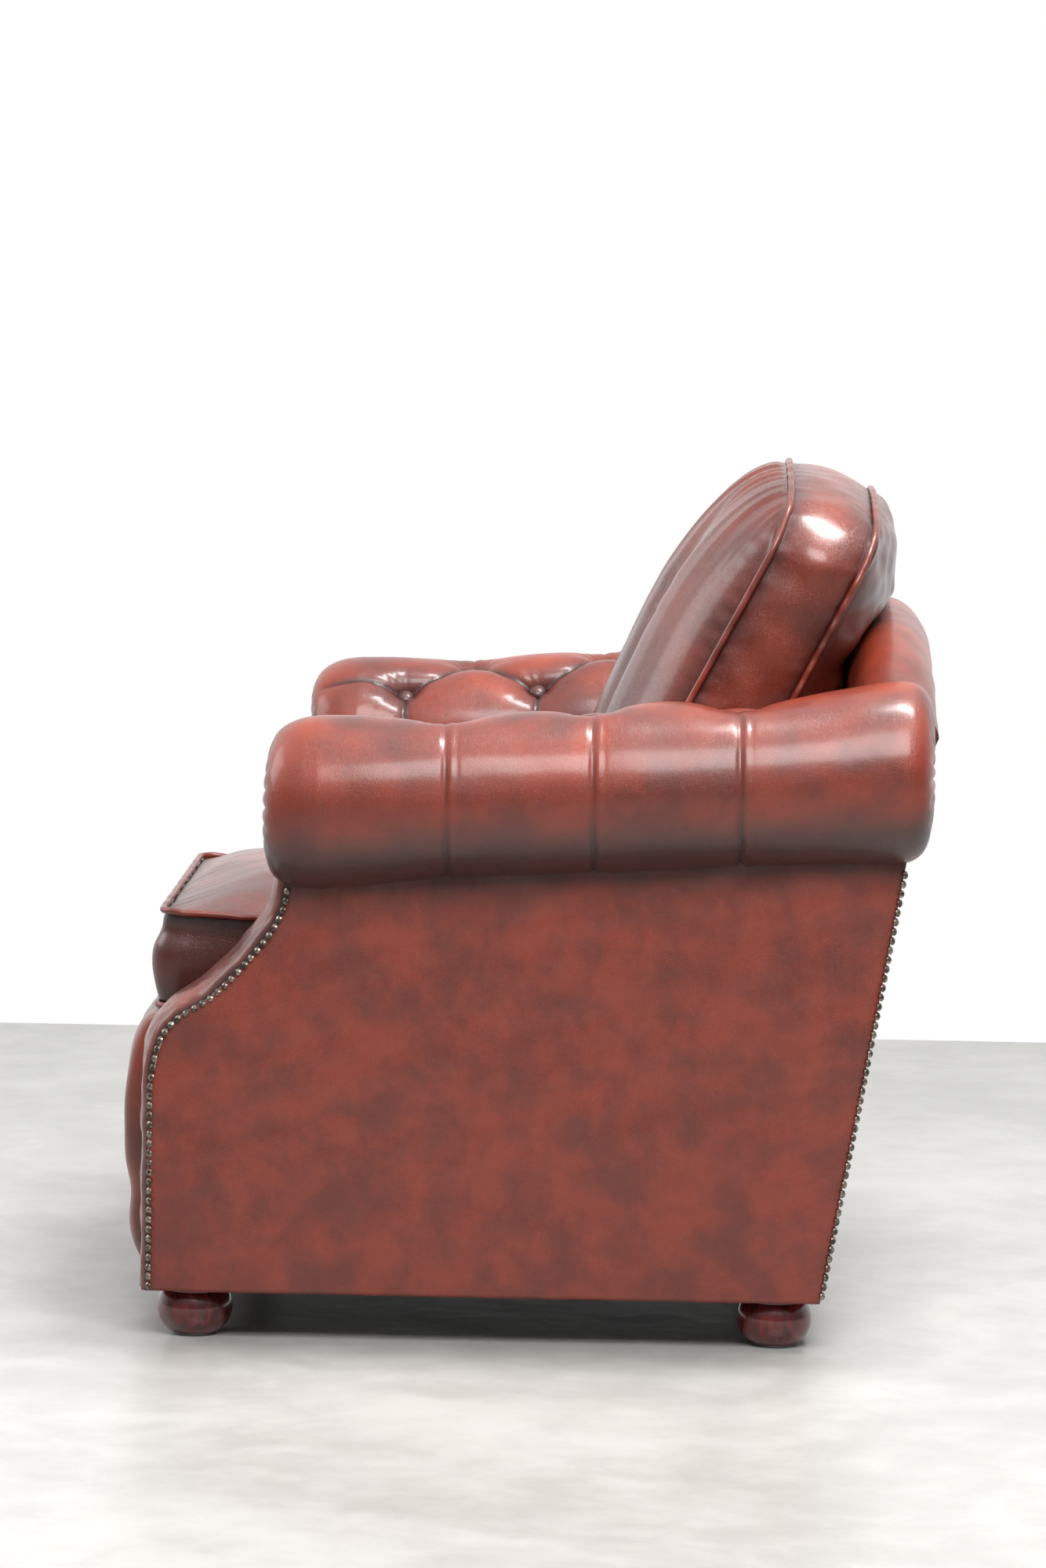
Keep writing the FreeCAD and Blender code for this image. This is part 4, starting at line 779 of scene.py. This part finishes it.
def pillow_bulge(x, w):
    """The front's swell: three lobes across, with a channel down through each button, fuller to the top."""
    across = np.clip(1 - (np.abs(x) / PILLOW_HALF) ** 3.2, 0, 1) ** 0.6
    upward = (0.80 + 0.30 * w) * np.clip(1 - np.abs(2 * w - 1) ** (3 - 0.7 * ease(w, 0.4, 0.8)), 0, 1)
    upward = upward ** (0.45 + 0.15 * ease(w, 0.5, 0.9))
    channel = 0.30 * np.exp(-np.abs((np.abs(x) - PILLOW_BUTTON_X) / 0.030) ** 1.3)
    channel = channel * (1 - ease(w, 0.72, 0.97)) * ease(w, 0.02, 0.25)
    return PILLOW_CROWN * across * upward * (1 - channel)


def pillow_gathers(x, w):
    """The front's gathers, as a lift along its normal.

    Ruffles under the top seam and ridges that run down from it both die out below, drawn towards the
    buttons. Short ones stand along the sides. Each button sits in a funnel with rays round it.
    """
    below = (1 - w) * PILLOW_TALL
    by_button = np.exp(-((np.abs(x) - PILLOW_BUTTON_X) / 0.08) ** 2)
    drawn = x + 0.030 * np.sign(x) * ease(below, 0.0, 0.2) * by_button
    fine = np.abs(np.sin(np.pi * (drawn + 0.004 * wander(x, 0.06, 71)) / 0.0165)) ** 0.8 - 0.6
    coarse = wander(drawn + 0.02 * w, 0.050, 72)
    long = np.maximum(0, wander(drawn, 0.11, 73)) * coarse
    lift = 0.0028 * fine * np.exp(-(below / 0.055) ** 1.2) + 0.0022 * coarse * np.exp(-below / 0.11)
    lift = lift + 0.0016 * long * np.exp(-below / 0.24)
    side = PILLOW_HALF - np.abs(x)
    lift = lift + 0.0006 * wander(w * PILLOW_TALL, 0.022, 74) * np.exp(-side / 0.016)
    aside, above = np.abs(x) - PILLOW_BUTTON_X, (w - PILLOW_BUTTON_SHARE) * PILLOW_TALL
    r, turn = np.hypot(aside, above), np.arctan2(above, aside)
    rays = 0.0020 * np.cos(9 * turn) * np.exp(-r / 0.035) * ease(r, 0.008, 0.02)
    return lift + rays + dimple(r, 0.012, 0.026)


def pillow_rear_swell(x, w, rear):
    """How far the rear panel stands back from its seams' plane: the smooth minimum of two measures.

    One is a full swell. The other is the room left by the inside back and the back roll.
    """
    full = 0.066 * np.clip(1 - (np.abs(x) / PILLOW_HALF) ** 3.2, 0, 1) ** 0.55
    full = full * np.clip(1 - np.abs(2 * w - 1) ** 2.6, 0, 1) ** 0.55
    top = back_roll_top(x)
    rise = np.clip((rear[..., 2] - (top - 0.050)) / 0.075, 0, 1)
    face = inside_back_y(rear[..., 2]) - 0.006 + 0.16 * (1 - np.sqrt(np.clip(1 - rise ** 2, 0, 1)))
    room = face - rear[..., 1]
    soft = 0.008
    return -soft * np.log(np.exp(-full / soft) + np.exp(-room / soft))


def back_pillow():
    """The back pillow: rings from the middle of its front to the seam, over the boxing, to the rear's middle.

    Front = the seams' plane plus the swell and gathers along its normal. Boxing = a straight mix of the two
    seams, bowed out between them. Rear = its plane plus what swell the back leaves room for.
    """
    loop, normal, lx, lw = pillow_outline(720)
    spread = (1 - (1 - np.linspace(0, 1, 84)) ** 2.0)[1:, None]
    x, w = spread * lx, 0.5 + spread * (lw - 0.5)
    plane, _ = pillow_seams(x, w)
    _, forward = pillow_axes()
    swell = pillow_bulge(x, w) + pillow_gathers(x, w) * ease(1 - spread, 0.0, 0.015)
    front = plane + forward * swell[..., None]
    along = np.linspace(0, 1, 30)[1:-1, None]
    front_seam, rear_seam = pillow_seams(lx, lw)
    box = front_seam[None] + (rear_seam - front_seam)[None] * along[..., None]
    out = pillow_outward(normal)
    side = np.abs(normal[:, 0])[None, :] ** 2
    low = np.clip(-normal[:, 1], 0, 1)[None, :] ** 2
    run = np.arange(len(loop))[None, :] * 0.0031
    bow = 0.010 + side * (0.008 * ease(lw, 0.35, 0.75) - 0.003) - 0.001 * low
    bow = bow * np.sin(np.pi * along) ** 0.75
    pull = seam_pull(along, PILLOW_BOXING)
    bow = bow + 0.0008 * wander(run, 0.030, 75) * pull
    dent = np.exp(-((lw - 0.88) / 0.05) ** 2)[None, :] * side * np.exp(-((along - 0.16) / 0.13) ** 2)
    bow = bow - 0.004 * dent + 0.0012 * unevenness(box, 0.06, 76) * np.sin(np.pi * along)
    box = box + out[None] * bow[..., None]
    back_spread = spread[::-1]
    x2, w2 = back_spread * lx, 0.5 + back_spread * (lw - 0.5)
    _, rear = pillow_seams(x2, w2)
    far = pillow_rear_swell(x2, w2, rear)
    far = far + 0.0014 * unevenness(rear, 0.05, 77) * ease(1 - back_spread, 0.0, 0.05)
    rear = rear + np.array([0.0, 1.0, 0.10]) * far[..., None]
    rings = np.concatenate([front, box, rear])
    # Painted shade in the button channels, at the front seam, towards the bottom, on the boxing near its
    # seams and its downward side, and over the rear. The boxing's middle is lighter except where it faces
    # down: rubbed wear and a painted highlight.
    valley = np.exp(-np.abs(np.abs(x) - PILLOW_BUTTON_X) / 0.010) * (1 - ease(w, 0.66, 0.85)) * 0.8
    seam = (1 - spread) * 0.28
    shade = np.concatenate([np.clip(0.7 * valley + 0.4 * np.exp(-seam / 0.010) + 0.25 * (1 - w), 0, 1),
                            0.7 * pull + 0.5 * low + 0 * run, 0.4 + 0 * far])
    box_rub = 0.95 * np.sin(np.pi * along) ** 1.5 * (1 - low) + 0 * run
    rub = np.concatenate([0.18 + 0 * x, box_rub, 0.2 + 0 * far])
    return tube_skin(rings, shade=np.clip(shade, 0, 1), rub=rub)


def pillow_piping(rear):
    """A loop of cord round the pillow's front or rear seam, standing just outside it and a little uneven."""
    loop, normal, lx, lw = pillow_outline(620)
    seams = pillow_seams(lx, lw)
    _, forward = pillow_axes()
    across = forward * (-1 if rear else 1)
    wave = 0.0009 * wander(np.arange(len(loop)) * 0.0036, 0.05, 78 + rear)[:, None]
    path = seams[int(rear)] + pillow_outward(normal) * (0.0036 + wave) + across * 0.0016
    return loop_skin(cord_rings(path, PIPING_RADIUS, True))


def pillow_buttons():
    """The two buttons, each in its funnel on the pillow's front, and turned up a little."""
    made = []
    _, forward = pillow_axes()
    for x in (-PILLOW_BUTTON_X, PILLOW_BUTTON_X):
        at = np.array([x]), np.array([PILLOW_BUTTON_SHARE])
        plane, _ = pillow_seams(*at)
        lift = pillow_bulge(*at) + pillow_gathers(*at)
        made.append(button_skin((plane + forward * (lift[:, None] + 0.0010))[0], forward + [0, -0.1, 0.15]))
    return joined(made)


# Back


def back_roll():
    """The roll across the back's top: a tall rounded section carried along X under an arched top line."""
    x = np.linspace(-1, 1, 190) * BACK_ROLL_HALF
    top = back_roll_top(x)
    low, half_way = BACK_ROLL_BOTTOM, (top + BACK_ROLL_BOTTOM) / 2
    front, rear = BACK_FACE_Y, BACK_ROLL_REAR_Y
    middle = (front + rear) / 2
    corners = [(inside_back_y(low), low), (front - 0.006, half_way), (front, top - 0.045),
               (front + 0.018, top - 0.013), (middle, top), (rear - 0.020, top - 0.013), (rear, top - 0.046),
               (rear - 0.003, half_way), (rear - 0.017, low + 0.008), (rear_y(low) - 0.004, low - 0.004),
               (middle, low - 0.004)]
    corners = np.array([np.broadcast_arrays(y, z, x)[:2] for y, z in corners])
    ring = np.stack([smooth_path(corners[..., i], 110, True) for i in range(len(x))])
    grid = np.concatenate([np.broadcast_to(x[:, None, None], ring.shape[:2] + (1,)), ring], axis=-1)
    normals = grid_normals(grid, True)
    if np.mean(normals[:, 40:60, 2]) < 0:
        normals = -normals
    puff = 0.0012 * unevenness(grid, 0.12, 81) + 0.0002 * unevenness(grid, 0.04, 82)
    grid = grid + normals * puff[..., None]
    # Painted shade towards the bottom and the ends; the top is lighter, with rubbed wear and painted light.
    shade = 0.5 * ease(-grid[..., 2], -(low + 0.03), -low) + 0.35 * ease(np.abs(grid[..., 0]), 0.26, 0.34)
    rub = 0.7 * ease(grid[..., 2], 0.70, 0.80) * (0.5 + 0.5 * unevenness(grid, 0.12, 83))
    return tube_skin(grid, shade=np.clip(shade, 0, 1), rub=rub)


def inside_back():
    """The sloping inside back behind the pillow: a sheet that swells a little between its edges."""
    x = np.linspace(-1, 1, 120)[None, :] * (INSIDE_X - 0.001)
    z = np.linspace(deck_z(BACK_FACE_Y) - 0.002, BACK_ROLL_BOTTOM + 0.012, 90)[:, None]
    edge = np.minimum(INSIDE_X - np.abs(x), 0.06) / 0.06
    grid = grid_of(x, inside_back_y(z) + 0.004 - 0.003 * ease(edge, 0, 1), z)
    grid[..., 1] += 0.0006 * unevenness(grid, 0.09, 84)
    back = grid + [0, 0.004, 0]
    # Painted shade, even over the whole sheet.
    return slab_skin(grid, back, shade=0.35 + 0 * (x + z), rub=0.1 + 0 * (x + z))


def outside_back():
    """The outside back: a flat sheet on the rear's sloping plane, rounded over at its nailed edges."""
    x = np.linspace(-1, 1, 130)[None, :] * (OUTSIDE_X - 0.0030)
    z = np.linspace(BODY_BOTTOM, BACK_ROLL_BOTTOM + 0.010, 100)[:, None]
    edge = OUTSIDE_X - 0.0030 - np.abs(x)
    out = 0.0022 * ease(edge, 0.0, 0.09) - 0.0014 * np.exp(-edge / 0.004)
    under = 0.012 * ease(z, BACK_ROLL_BOTTOM - 0.012, BACK_ROLL_BOTTOM + 0.010)
    grid = grid_of(x, rear_y(z) + out - under, z)
    grid[..., 1] += 0.0008 * unevenness(grid, 0.14, 85) + 0.0003 * unevenness(grid, 0.04, 86)
    back = grid - [0, 0.003, 0]
    # Painted shade over the sheet, darker towards the nailed edges.
    return slab_skin(grid, back, shade=0.3 * np.exp(-edge / 0.006) + 0.2 + 0 * z, rub=0.25 + 0 * (x + z))


# Seat deck and dust cover


def seat_deck():
    """The pad under the seat cushion: a raked slab with rounded edges."""
    x = np.linspace(-1, 1, 80)[None, :] * (INSIDE_X - 0.001)
    y = np.linspace(BODY_FRONT_Y + 0.013, inside_back_y(deck_z(BACK_FACE_Y)) - 0.004, 90)[:, None]
    edge = np.minimum(INSIDE_X - 0.001 - np.abs(x), np.minimum(y - y[0], y[-1] - y))
    round_off = 0.005 * (1 - ease(edge, 0.0, 0.012))
    grid = grid_of(x, y, deck_z(y) - round_off - 0.0002)
    back = grid.copy()
    back[..., 2] = deck_z(y) - 0.018
    return slab_skin(grid, back)


def dust_cover():
    """The black cloth tacked under the seat: a thin sheet that sags by a few millimetres."""
    half, front, rear = OUTSIDE_X - 0.006, BODY_FRONT_Y + 0.006, BODY_REAR_Y - 0.006
    x = np.linspace(-1, 1, 70)[None, :] * half
    y = np.linspace(front, rear, 70)[:, None]
    sag = 0.0015 * (1 - (x / half) ** 4) * (1 - ((2 * y - front - rear) / (rear - front)) ** 4)
    grid = grid_of(x, y, BODY_BOTTOM - 0.0006 - sag)
    return slab_skin(grid, grid + [0, 0, 0.0005]), (2 * half, rear - front)


# Finishes


class Value:
    """A node's output socket. Arithmetic on it adds Math nodes, so it is for numbers, not for colours."""

    def __init__(self, finish, socket):
        self.finish, self.socket = finish, socket

    def _math(self, operation, *values):
        return self.finish.add("ShaderNodeMath", {"operation": operation}, dict(enumerate(values)))["Value"]

    def __add__(self, other):
        return self._math("ADD", self, other)

    def __sub__(self, other):
        return self._math("SUBTRACT", self, other)

    def __rsub__(self, other):
        return self._math("SUBTRACT", other, self)

    def __mul__(self, other):
        return self._math("MULTIPLY", self, other)

    __radd__, __rmul__ = __add__, __mul__

    def sine(self):
        return self._math("SINE", self)

    def clamped(self, low=0.0, high=1.0):
        return self._math("MINIMUM", self._math("MAXIMUM", self, low), high)


class Finish:
    """A material or a world in the making, and the few nodes that the finishes here are built from."""

    def __init__(self, made):
        made.use_nodes = True
        self.made, self.tree = made, made.node_tree
        self.tree.nodes.clear()

    def add(self, kind, settings=None, values=None):
        """Makes a node: its settings first, then its sockets' values or links. Gives its outputs by name."""
        node = self.tree.nodes.new(kind)
        for key, setting in (settings or {}).items():
            setattr(node, key, setting)
        for key, value in (values or {}).items():
            if isinstance(value, Value):
                self.tree.links.new(value.socket, node.inputs[key])
            else:
                node.inputs[key].default_value = value
        return {s.name: Value(self, s) for s in reversed(node.outputs) if s.enabled}

    def place(self):
        """The point on the piece, in metres."""
        return self.add("ShaderNodeTexCoord")["Object"]

    def field(self, name):
        """What a piece's skin carries under this name: its painted shade, or its rub with painted light."""
        return self.add("ShaderNodeAttribute", {"attribute_name": name})["Fac"]

    def cloud(self, place, size, detail=3.0, roughness=0.55, distortion=0.0, stretch=None):
        """Noise whose patches are about size across, optionally stretched along the axes."""
        if stretch:
            place = self.add("ShaderNodeMapping", {}, {"Vector": place, "Scale": stretch})["Vector"]
        values = {"Vector": place, "Scale": 1.0 / size, "Detail": detail, "Roughness": roughness,
                  "Distortion": distortion}
        return self.add("ShaderNodeTexNoise", {}, values)["Fac"]

    def cells(self, place, size):
        """The distance to the nearest border between cells that are about size across, measured in cells."""
        values = {"Vector": place, "Scale": 1.0 / size}
        return self.add("ShaderNodeTexVoronoi", {"feature": "DISTANCE_TO_EDGE"}, values)["Distance"]

    def step(self, value, low, high):
        """0 where value is below low and 1 above high, with a smooth rise between."""
        values = {"Value": value, "From Min": low, "From Max": high}
        return self.add("ShaderNodeMapRange", {"interpolation_type": "SMOOTHSTEP"}, values)["Result"]

    def mix(self, share, a, b):
        """A colour between a and b, which go to the node's sockets for colours, its 6th and 7th from 0."""
        settings = {"data_type": "RGBA"}
        return self.add("ShaderNodeMix", settings, {"Factor": share, 6: a, 7: b})["Result"]

    def bump(self, height, distance, normal=None):
        """A normal tilted by a height field; distance is how much a height of 1 stands for, in metres."""
        values = {"Height": height, "Distance": distance, "Strength": 1.0}
        if normal:
            values["Normal"] = normal
        return self.add("ShaderNodeBump", {}, values)["Normal"]

    def surface(self, **sockets):
        """The shader: sockets are Principled inputs, named with underscores for spaces."""
        values = {key.replace("_", " "): value for key, value in sockets.items()}
        shader = self.add("ShaderNodeBsdfPrincipled", {}, values)["BSDF"]
        self.add("ShaderNodeOutputMaterial", {}, {"Surface": shader})
        return self.made


def colour(red, green, blue):
    """A colour given as the eye reads it, 0 to 255, turned to linear light."""
    parts = [c / 255 for c in (red, green, blue)]
    return tuple(c / 12.92 if c <= 0.04045 else ((c + 0.055) / 1.055) ** 2.4 for c in parts) + (1.0,)


OXBLOOD = colour(138, 51, 32)
RUST = colour(168, 62, 26)
CHESTNUT = colour(100, 38, 28)
BURNT = colour(46, 18, 14)
PEBBLE = 1 / 620


def antique_leather(name, patch=0.12, blotch=1.0, rust=1.0, dark=1.0, depth=0.0, gloss=0.0):
    """Two-tone hide: an oxblood ground rubbed through to rust where it bulges, lighter towards rust with
    painted light on its upper sides, and darkened with painted shade in its folds and undersides.

    Its colour wanders in soft patches. Its grain is fine pebbles with small pores and faint creases.
    """
    f = Finish(bpy.data.materials.new(name))
    place = f.place()
    rub, shade = f.field("rub"), f.field("shade")
    patches = f.cloud(place, patch, detail=1.5, roughness=0.4, distortion=0.2)
    blots = f.cloud(place, 0.45 * patch, detail=2.0, roughness=0.5, distortion=0.2)
    fine = f.cloud(place, 0.009, detail=2.0, roughness=0.6)
    mottle = f.step(patches * 0.5 + blots * 0.5, 0.34, 0.66) * blotch + 0.5 * (1 - blotch)
    ground = f.mix(mottle, CHESTNUT, OXBLOOD)
    # Rust from random patches and from the rub field, which holds both rubbed wear and painted light; worn
    # carries both.
    warm = f.step(patches * 0.8 + blots * 0.2 + rub * 0.30, 0.42, 0.95) * (0.12 * rust + rub * 0.85 * rust)
    worn = f.mix(warm.clamped(), ground, RUST)
    # Painted shade: the shade field darkens the hide towards BURNT, and depth darkens it evenly.
    deep = (f.step(shade + patches * 0.12 - 0.06, 0.04, 1.0) * (0.92 * dark) + depth).clamped()
    hide = f.mix(deep, worn, BURNT)
    hide = f.mix(f.step(fine, 0.42, 0.75) * 0.10 * blotch, hide, BURNT)
    pebbles = f.step(f.cells(place, PEBBLE), 0.0, 0.18)
    creases = f.cloud(place, 0.0042, detail=4.0, roughness=0.62, distortion=0.5)
    normal = f.bump(pebbles * 0.45 + creases, 0.00022)
    normal = f.bump(f.cloud(place, 0.016, detail=3.0, roughness=0.5, distortion=0.4), 0.00025, normal)
    rough = 0.31 - gloss + fine * 0.06 + shade * 0.10
    return f.surface(Base_Color=hide, Roughness=rough, Normal=normal, Specular_IOR_Level=0.50,
                     Coat_Weight=0.40, Coat_Roughness=0.20)


def polished_wood():
    """The feet: a dark cherry stain with long, faint grain under a clear gloss."""
    f = Finish(bpy.data.materials.new("cherry_stain"))
    place = f.place()
    grain = f.cloud(place, 0.012, detail=4.0, roughness=0.6, distortion=0.8, stretch=(1.0, 1.0, 0.18))
    pores = f.cloud(place, 0.002, detail=2.0, roughness=0.7, distortion=0.0, stretch=(1.0, 1.0, 0.10))
    stain = f.mix(f.step(grain, 0.30, 0.72), colour(58, 11, 13), colour(116, 26, 28))
    normal = f.bump(pores * 0.5 + grain, 0.00008)
    return f.surface(Base_Color=stain, Roughness=0.22 + pores * 0.08, Normal=normal, Coat_Weight=0.8,
                     Coat_Roughness=0.06)


def antique_nails():
    """Old nail heads: dull dark metal, brighter where it has rubbed."""
    f = Finish(bpy.data.materials.new("antique_nail_heads"))
    place = f.place()
    worn = f.step(f.cloud(place, 0.006, detail=3.0, roughness=0.6), 0.40, 0.66)
    metal = f.mix(worn, colour(74, 66, 60), colour(158, 148, 136))
    return f.surface(Base_Color=metal, Metallic=0.9, Roughness=0.44 - worn * 0.14)


def plain_wood(name, light, dark, along):
    """Frame timber: straight grain, with darker lines stretched along one axis."""
    f = Finish(bpy.data.materials.new(name))
    place = f.place()
    grain = f.cloud(place, 0.010, detail=5.0, roughness=0.6, distortion=0.6, stretch=along)
    tone = f.mix(f.step(grain, 0.32, 0.70), light, dark)
    return f.surface(Base_Color=tone, Roughness=0.55 + grain * 0.15, Normal=f.bump(grain, 0.0002))


def zinc_steel():
    """Springs, clips, bolts and tee nuts: zinc plate with a faint spangle."""
    f = Finish(bpy.data.materials.new("zinc_plated_steel"))
    spangle = f.cloud(f.place(), 0.004, detail=3.0, roughness=0.6)
    return f.surface(Base_Color=f.mix(spangle, colour(140, 142, 146), colour(186, 188, 190)), Metallic=1.0,
                     Roughness=0.30 + spangle * 0.15)


def woven(name, light, dark, pitch):
    """Plain weave: threads over and under at one pitch, lighter on top with painted light and darker where
    they dip with painted shade.
    """
    f = Finish(bpy.data.materials.new(name))
    place = f.place()
    turned = f.add("ShaderNodeSeparateXYZ", {}, {"Vector": place})
    wave = [(turned[axis] * (math.pi / pitch)).sine() for axis in "XY"]
    over = wave[0] * wave[1] * 0.5 + 0.5
    cloth = f.mix((over * 0.7 + f.cloud(place, 0.02, detail=2.0) * 0.3).clamped(), dark, light)
    return f.surface(Base_Color=cloth, Roughness=0.85 + over * 0.10, Normal=f.bump(over, 0.0003))


def open_foam(name, tint):
    """Foam: its tint, speckled darker with painted shade in its open cells."""
    f = Finish(bpy.data.materials.new(name))
    cells = f.cloud(f.place(), 0.0016, detail=2.0, roughness=0.7)
    return f.surface(Base_Color=f.mix(cells, colour(150, 140, 110), tint), Roughness=0.9 + cells * 0.05,
                     Normal=f.bump(cells, 0.0005))


def concrete():
    """The floor: pale power-floated concrete with cloudy patches, faint hair cracks and a soft polish."""
    f = Finish(bpy.data.materials.new("pale_concrete"))
    place = f.place()
    clouds = f.cloud(place, 0.55, detail=5.0, roughness=0.62, distortion=0.6)
    mottle = f.cloud(place, 0.09, detail=4.0, roughness=0.6, distortion=0.3)
    shifted = f.add("ShaderNodeTexNoise", {}, {"Vector": place, "Scale": 6.0})["Color"]
    shifted = f.add("ShaderNodeVectorMath", {"operation": "ADD"}, {0: place, 1: shifted})["Vector"]
    cracks = f.cells(shifted, 0.3125)
    tone = f.step(clouds * 0.65 + mottle * 0.35, 0.36, 0.66)
    tone = f.mix(tone, colour(180, 179, 175), colour(202, 201, 197))
    tone = f.mix((1 - f.step(cracks, 0.0, 0.006)) * 0.10, tone, colour(235, 235, 232))
    return f.surface(Base_Color=tone, Roughness=0.26 + clouds * 0.16, Normal=f.bump(mottle, 0.0012),
                     Specular_IOR_Level=0.55)


# The room, the light and the camera


def room():
    """A floor that ends where the white wall starts, and a world that reads white behind it.

    The world lights the chair more from above and from the wall's side than from the viewer's. Glossy rays
    see white on that pale side.
    """
    floor = bpy.data.meshes.new("floor")
    corners = [(WALL_X, -FLOOR_HALF, 0), (FLOOR_FAR, -FLOOR_HALF, 0), (FLOOR_FAR, FLOOR_HALF, 0),
               (WALL_X, FLOOR_HALF, 0)]
    floor.from_pydata(corners, [], [(0, 1, 2, 3)])
    made = bpy.data.objects.new("floor", floor)
    bpy.context.scene.collection.objects.link(made)
    floor.materials.append(concrete())
    world = bpy.data.worlds.new("white_room")
    bpy.context.scene.world = world
    f = Finish(world)
    rays = f.add("ShaderNodeLightPath")
    way = f.add("ShaderNodeSeparateXYZ", {}, {"Vector": f.add("ShaderNodeTexCoord")["Generated"]})
    pale = (f.step(way["Z"], 0.05, 0.85) * 0.6 + f.step(0.0 - way["X"], -0.2, 0.7)).clamped()
    light = pale * ROOM_PALE + ROOM_LOW
    shown = (rays["Is Camera Ray"] + rays["Is Transmission Ray"] + rays["Is Glossy Ray"] * pale).clamped()
    strength = light * (1.0 - shown) + shown
    values = {"Color": (1.0, 1.0, 1.0, 1.0), "Strength": strength}
    f.add("ShaderNodeOutputWorld", {}, {"Surface": f.add("ShaderNodeBackground", {}, values)["Background"]})


def soft_lamp(name, at, aim, size, watts):
    """A rectangular soft box at a place, turned to face a point."""
    data = bpy.data.lights.new(name, "AREA")
    data.shape, data.size, data.size_y, data.energy = "RECTANGLE", size[0], size[1], watts
    lamp = bpy.data.objects.new(name, data)
    bpy.context.scene.collection.objects.link(lamp)
    place, to = np.array(at, float), np.array(aim, float)
    back = unit(place - to)
    side = unit(np.cross([0.0, 0.0, 1.0], back))
    up = np.cross(back, side)
    frame_axes = np.eye(4)
    frame_axes[:3, :3] = np.stack([side, up, back], axis=1)
    frame_axes[:3, 3] = place
    lamp.matrix_world = Matrix(frame_axes.tolist())


def photograph_camera():
    """A long lens at chest height on the sitter's left, turned a little forward, down and askew."""
    yaw, pitch, tilt = CAMERA_YAW, CAMERA_PITCH, CAMERA_TILT
    ahead = np.array([-math.cos(yaw) * math.cos(pitch), -math.sin(yaw) * math.cos(pitch), -math.sin(pitch)])
    right = unit(np.cross(ahead, [0, 0, 1]))
    up = np.cross(right, ahead)
    right, up = right * math.cos(tilt) + up * math.sin(tilt), up * math.cos(tilt) - right * math.sin(tilt)
    data = bpy.data.cameras.new("camera")
    data.lens, data.sensor_width, data.clip_end = CAMERA_LENS, 36.0, 60.0
    camera = bpy.data.objects.new("camera", data)
    bpy.context.scene.collection.objects.link(camera)
    pose = np.eye(4)
    pose[:3, :3] = np.stack([right, up, -ahead], axis=1)
    pose[:3, 3] = CAMERA_PLACE
    camera.matrix_world = Matrix(pose.tolist())
    bpy.context.scene.camera = camera


# Everything together

hide = antique_leather("antique_leather", depth=0.12)
panel_hide = antique_leather("antique_leather_flat", patch=0.07, blotch=0.75, rust=0.4, dark=0.9, gloss=-0.06)
cushion_hide = antique_leather("antique_leather_cushions", rust=0.75, depth=0.38, gloss=0.08)
piping_hide = antique_leather("antique_leather_piping", rust=0.9, dark=0.5, depth=0.10, gloss=0.04)

for side, turned in (("left", False), ("right", True)):
    for name, skin, finish, nodes in (
            ("arm_roll", arm_roll(), hide, ("arm_roll_leather", "arm_roll_foam")),
            ("inside_arm", inside_arm(), hide, ("inside_arm_leather", "inside_arm_foam")),
            ("outside_arm", outside_arm(), panel_hide, ("outside_arm_leather",)),
            ("facing", arm_facing(), hide, ("arm_facing",))):
        piece(f"{name}_{side}", mirrored(skin) if turned else skin, finish,
              stands_for=[f"{node}_{side}" for node in nodes])

pair = facing_piping()
piece("facing_piping", joined([pair, mirrored(pair)]), piping_hide, stands_for=["arm_facing_piping"])
pair = arm_buttons()
piece("crest_and_scroll_buttons", joined([pair, mirrored(pair)]), hide, stands_for=["arm_buttons"])
piece("border", front_border(), hide, stands_for=["front_border_leather", "front_border_foam"])
piece("border_buttons", border_buttons(), hide, stands_for=["front_border_buttons"])

cushion = piece("seat_cushion", seat_cushion(), cushion_hide, "seat_cushion",
                ["seat_cushion_cover", "seat_cushion_core"])
piece("seat_piping", joined([seat_piping(SEAT_EDGE, 1), seat_piping(SEAT_BASE_SEAM, -1)]), piping_hide,
      "seat_cushion", ["seat_cushion_piping"])
pillow = piece("back_pillow", back_pillow(), cushion_hide, "back_pillow",
               ["back_pillow_cover", "back_pillow_core"])
piece("pillow_piping", joined([pillow_piping(False), pillow_piping(True)]), piping_hide, "back_pillow",
      ["back_pillow_piping"])
piece("pillow_buttons", pillow_buttons(), cushion_hide, "back_pillow", ["back_pillow_buttons"])

piece("back_roll", back_roll(), hide, stands_for=["back_roll_leather", "back_roll_foam"])
piece("inside_back", inside_back(), hide, stands_for=["inside_back_leather", "back_foam"])
piece("outside_back", outside_back(), panel_hide, stands_for=["outside_back_leather"])
piece("deck", seat_deck(), woven("deck_cloth", colour(70, 62, 54), colour(38, 33, 29), 0.0016),
      stands_for=["seat_deck"])
skin, flat_size = dust_cover()
cover = piece("dust_cover_cloth", skin, woven("black_cloth", colour(34, 34, 34), colour(12, 12, 12), 0.0014),
              stands_for=["dust_cover"])

beech_light, beech_dark = colour(214, 182, 140), colour(176, 138, 96)
boards = plain_wood("plywood", colour(206, 178, 136), beech_dark, (0.12, 0.12, 1.0))
timber = plain_wood("beech", beech_light, beech_dark, (0.15, 1.0, 1.0))
steel, nails, feet = zinc_steel(), antique_nails(), polished_wood()
strap = woven("webbing", colour(60, 58, 56), colour(26, 25, 24), 0.0024)
inner = {"feet": feet, "nails": nails, "steel": steel, "cloth": strap, "frame_wood": timber,
         "foam": open_foam("foam", colour(226, 214, 170)),
         "cushion_core": open_foam("core_foam", colour(232, 226, 204))}
for row in frame["record"]["subparts"]:
    node = frame["nodes"][row["node"]]
    finish = boards if "board" in row["node"] else inner.get(row["material_slot"], hide)
    node.data.materials.clear()
    node.data.materials.append(finish)

room()
for name, lamp in LAMPS.items():
    soft_lamp(name, *lamp)
photograph_camera()
bpy.context.scene.view_settings.view_transform = "Standard"
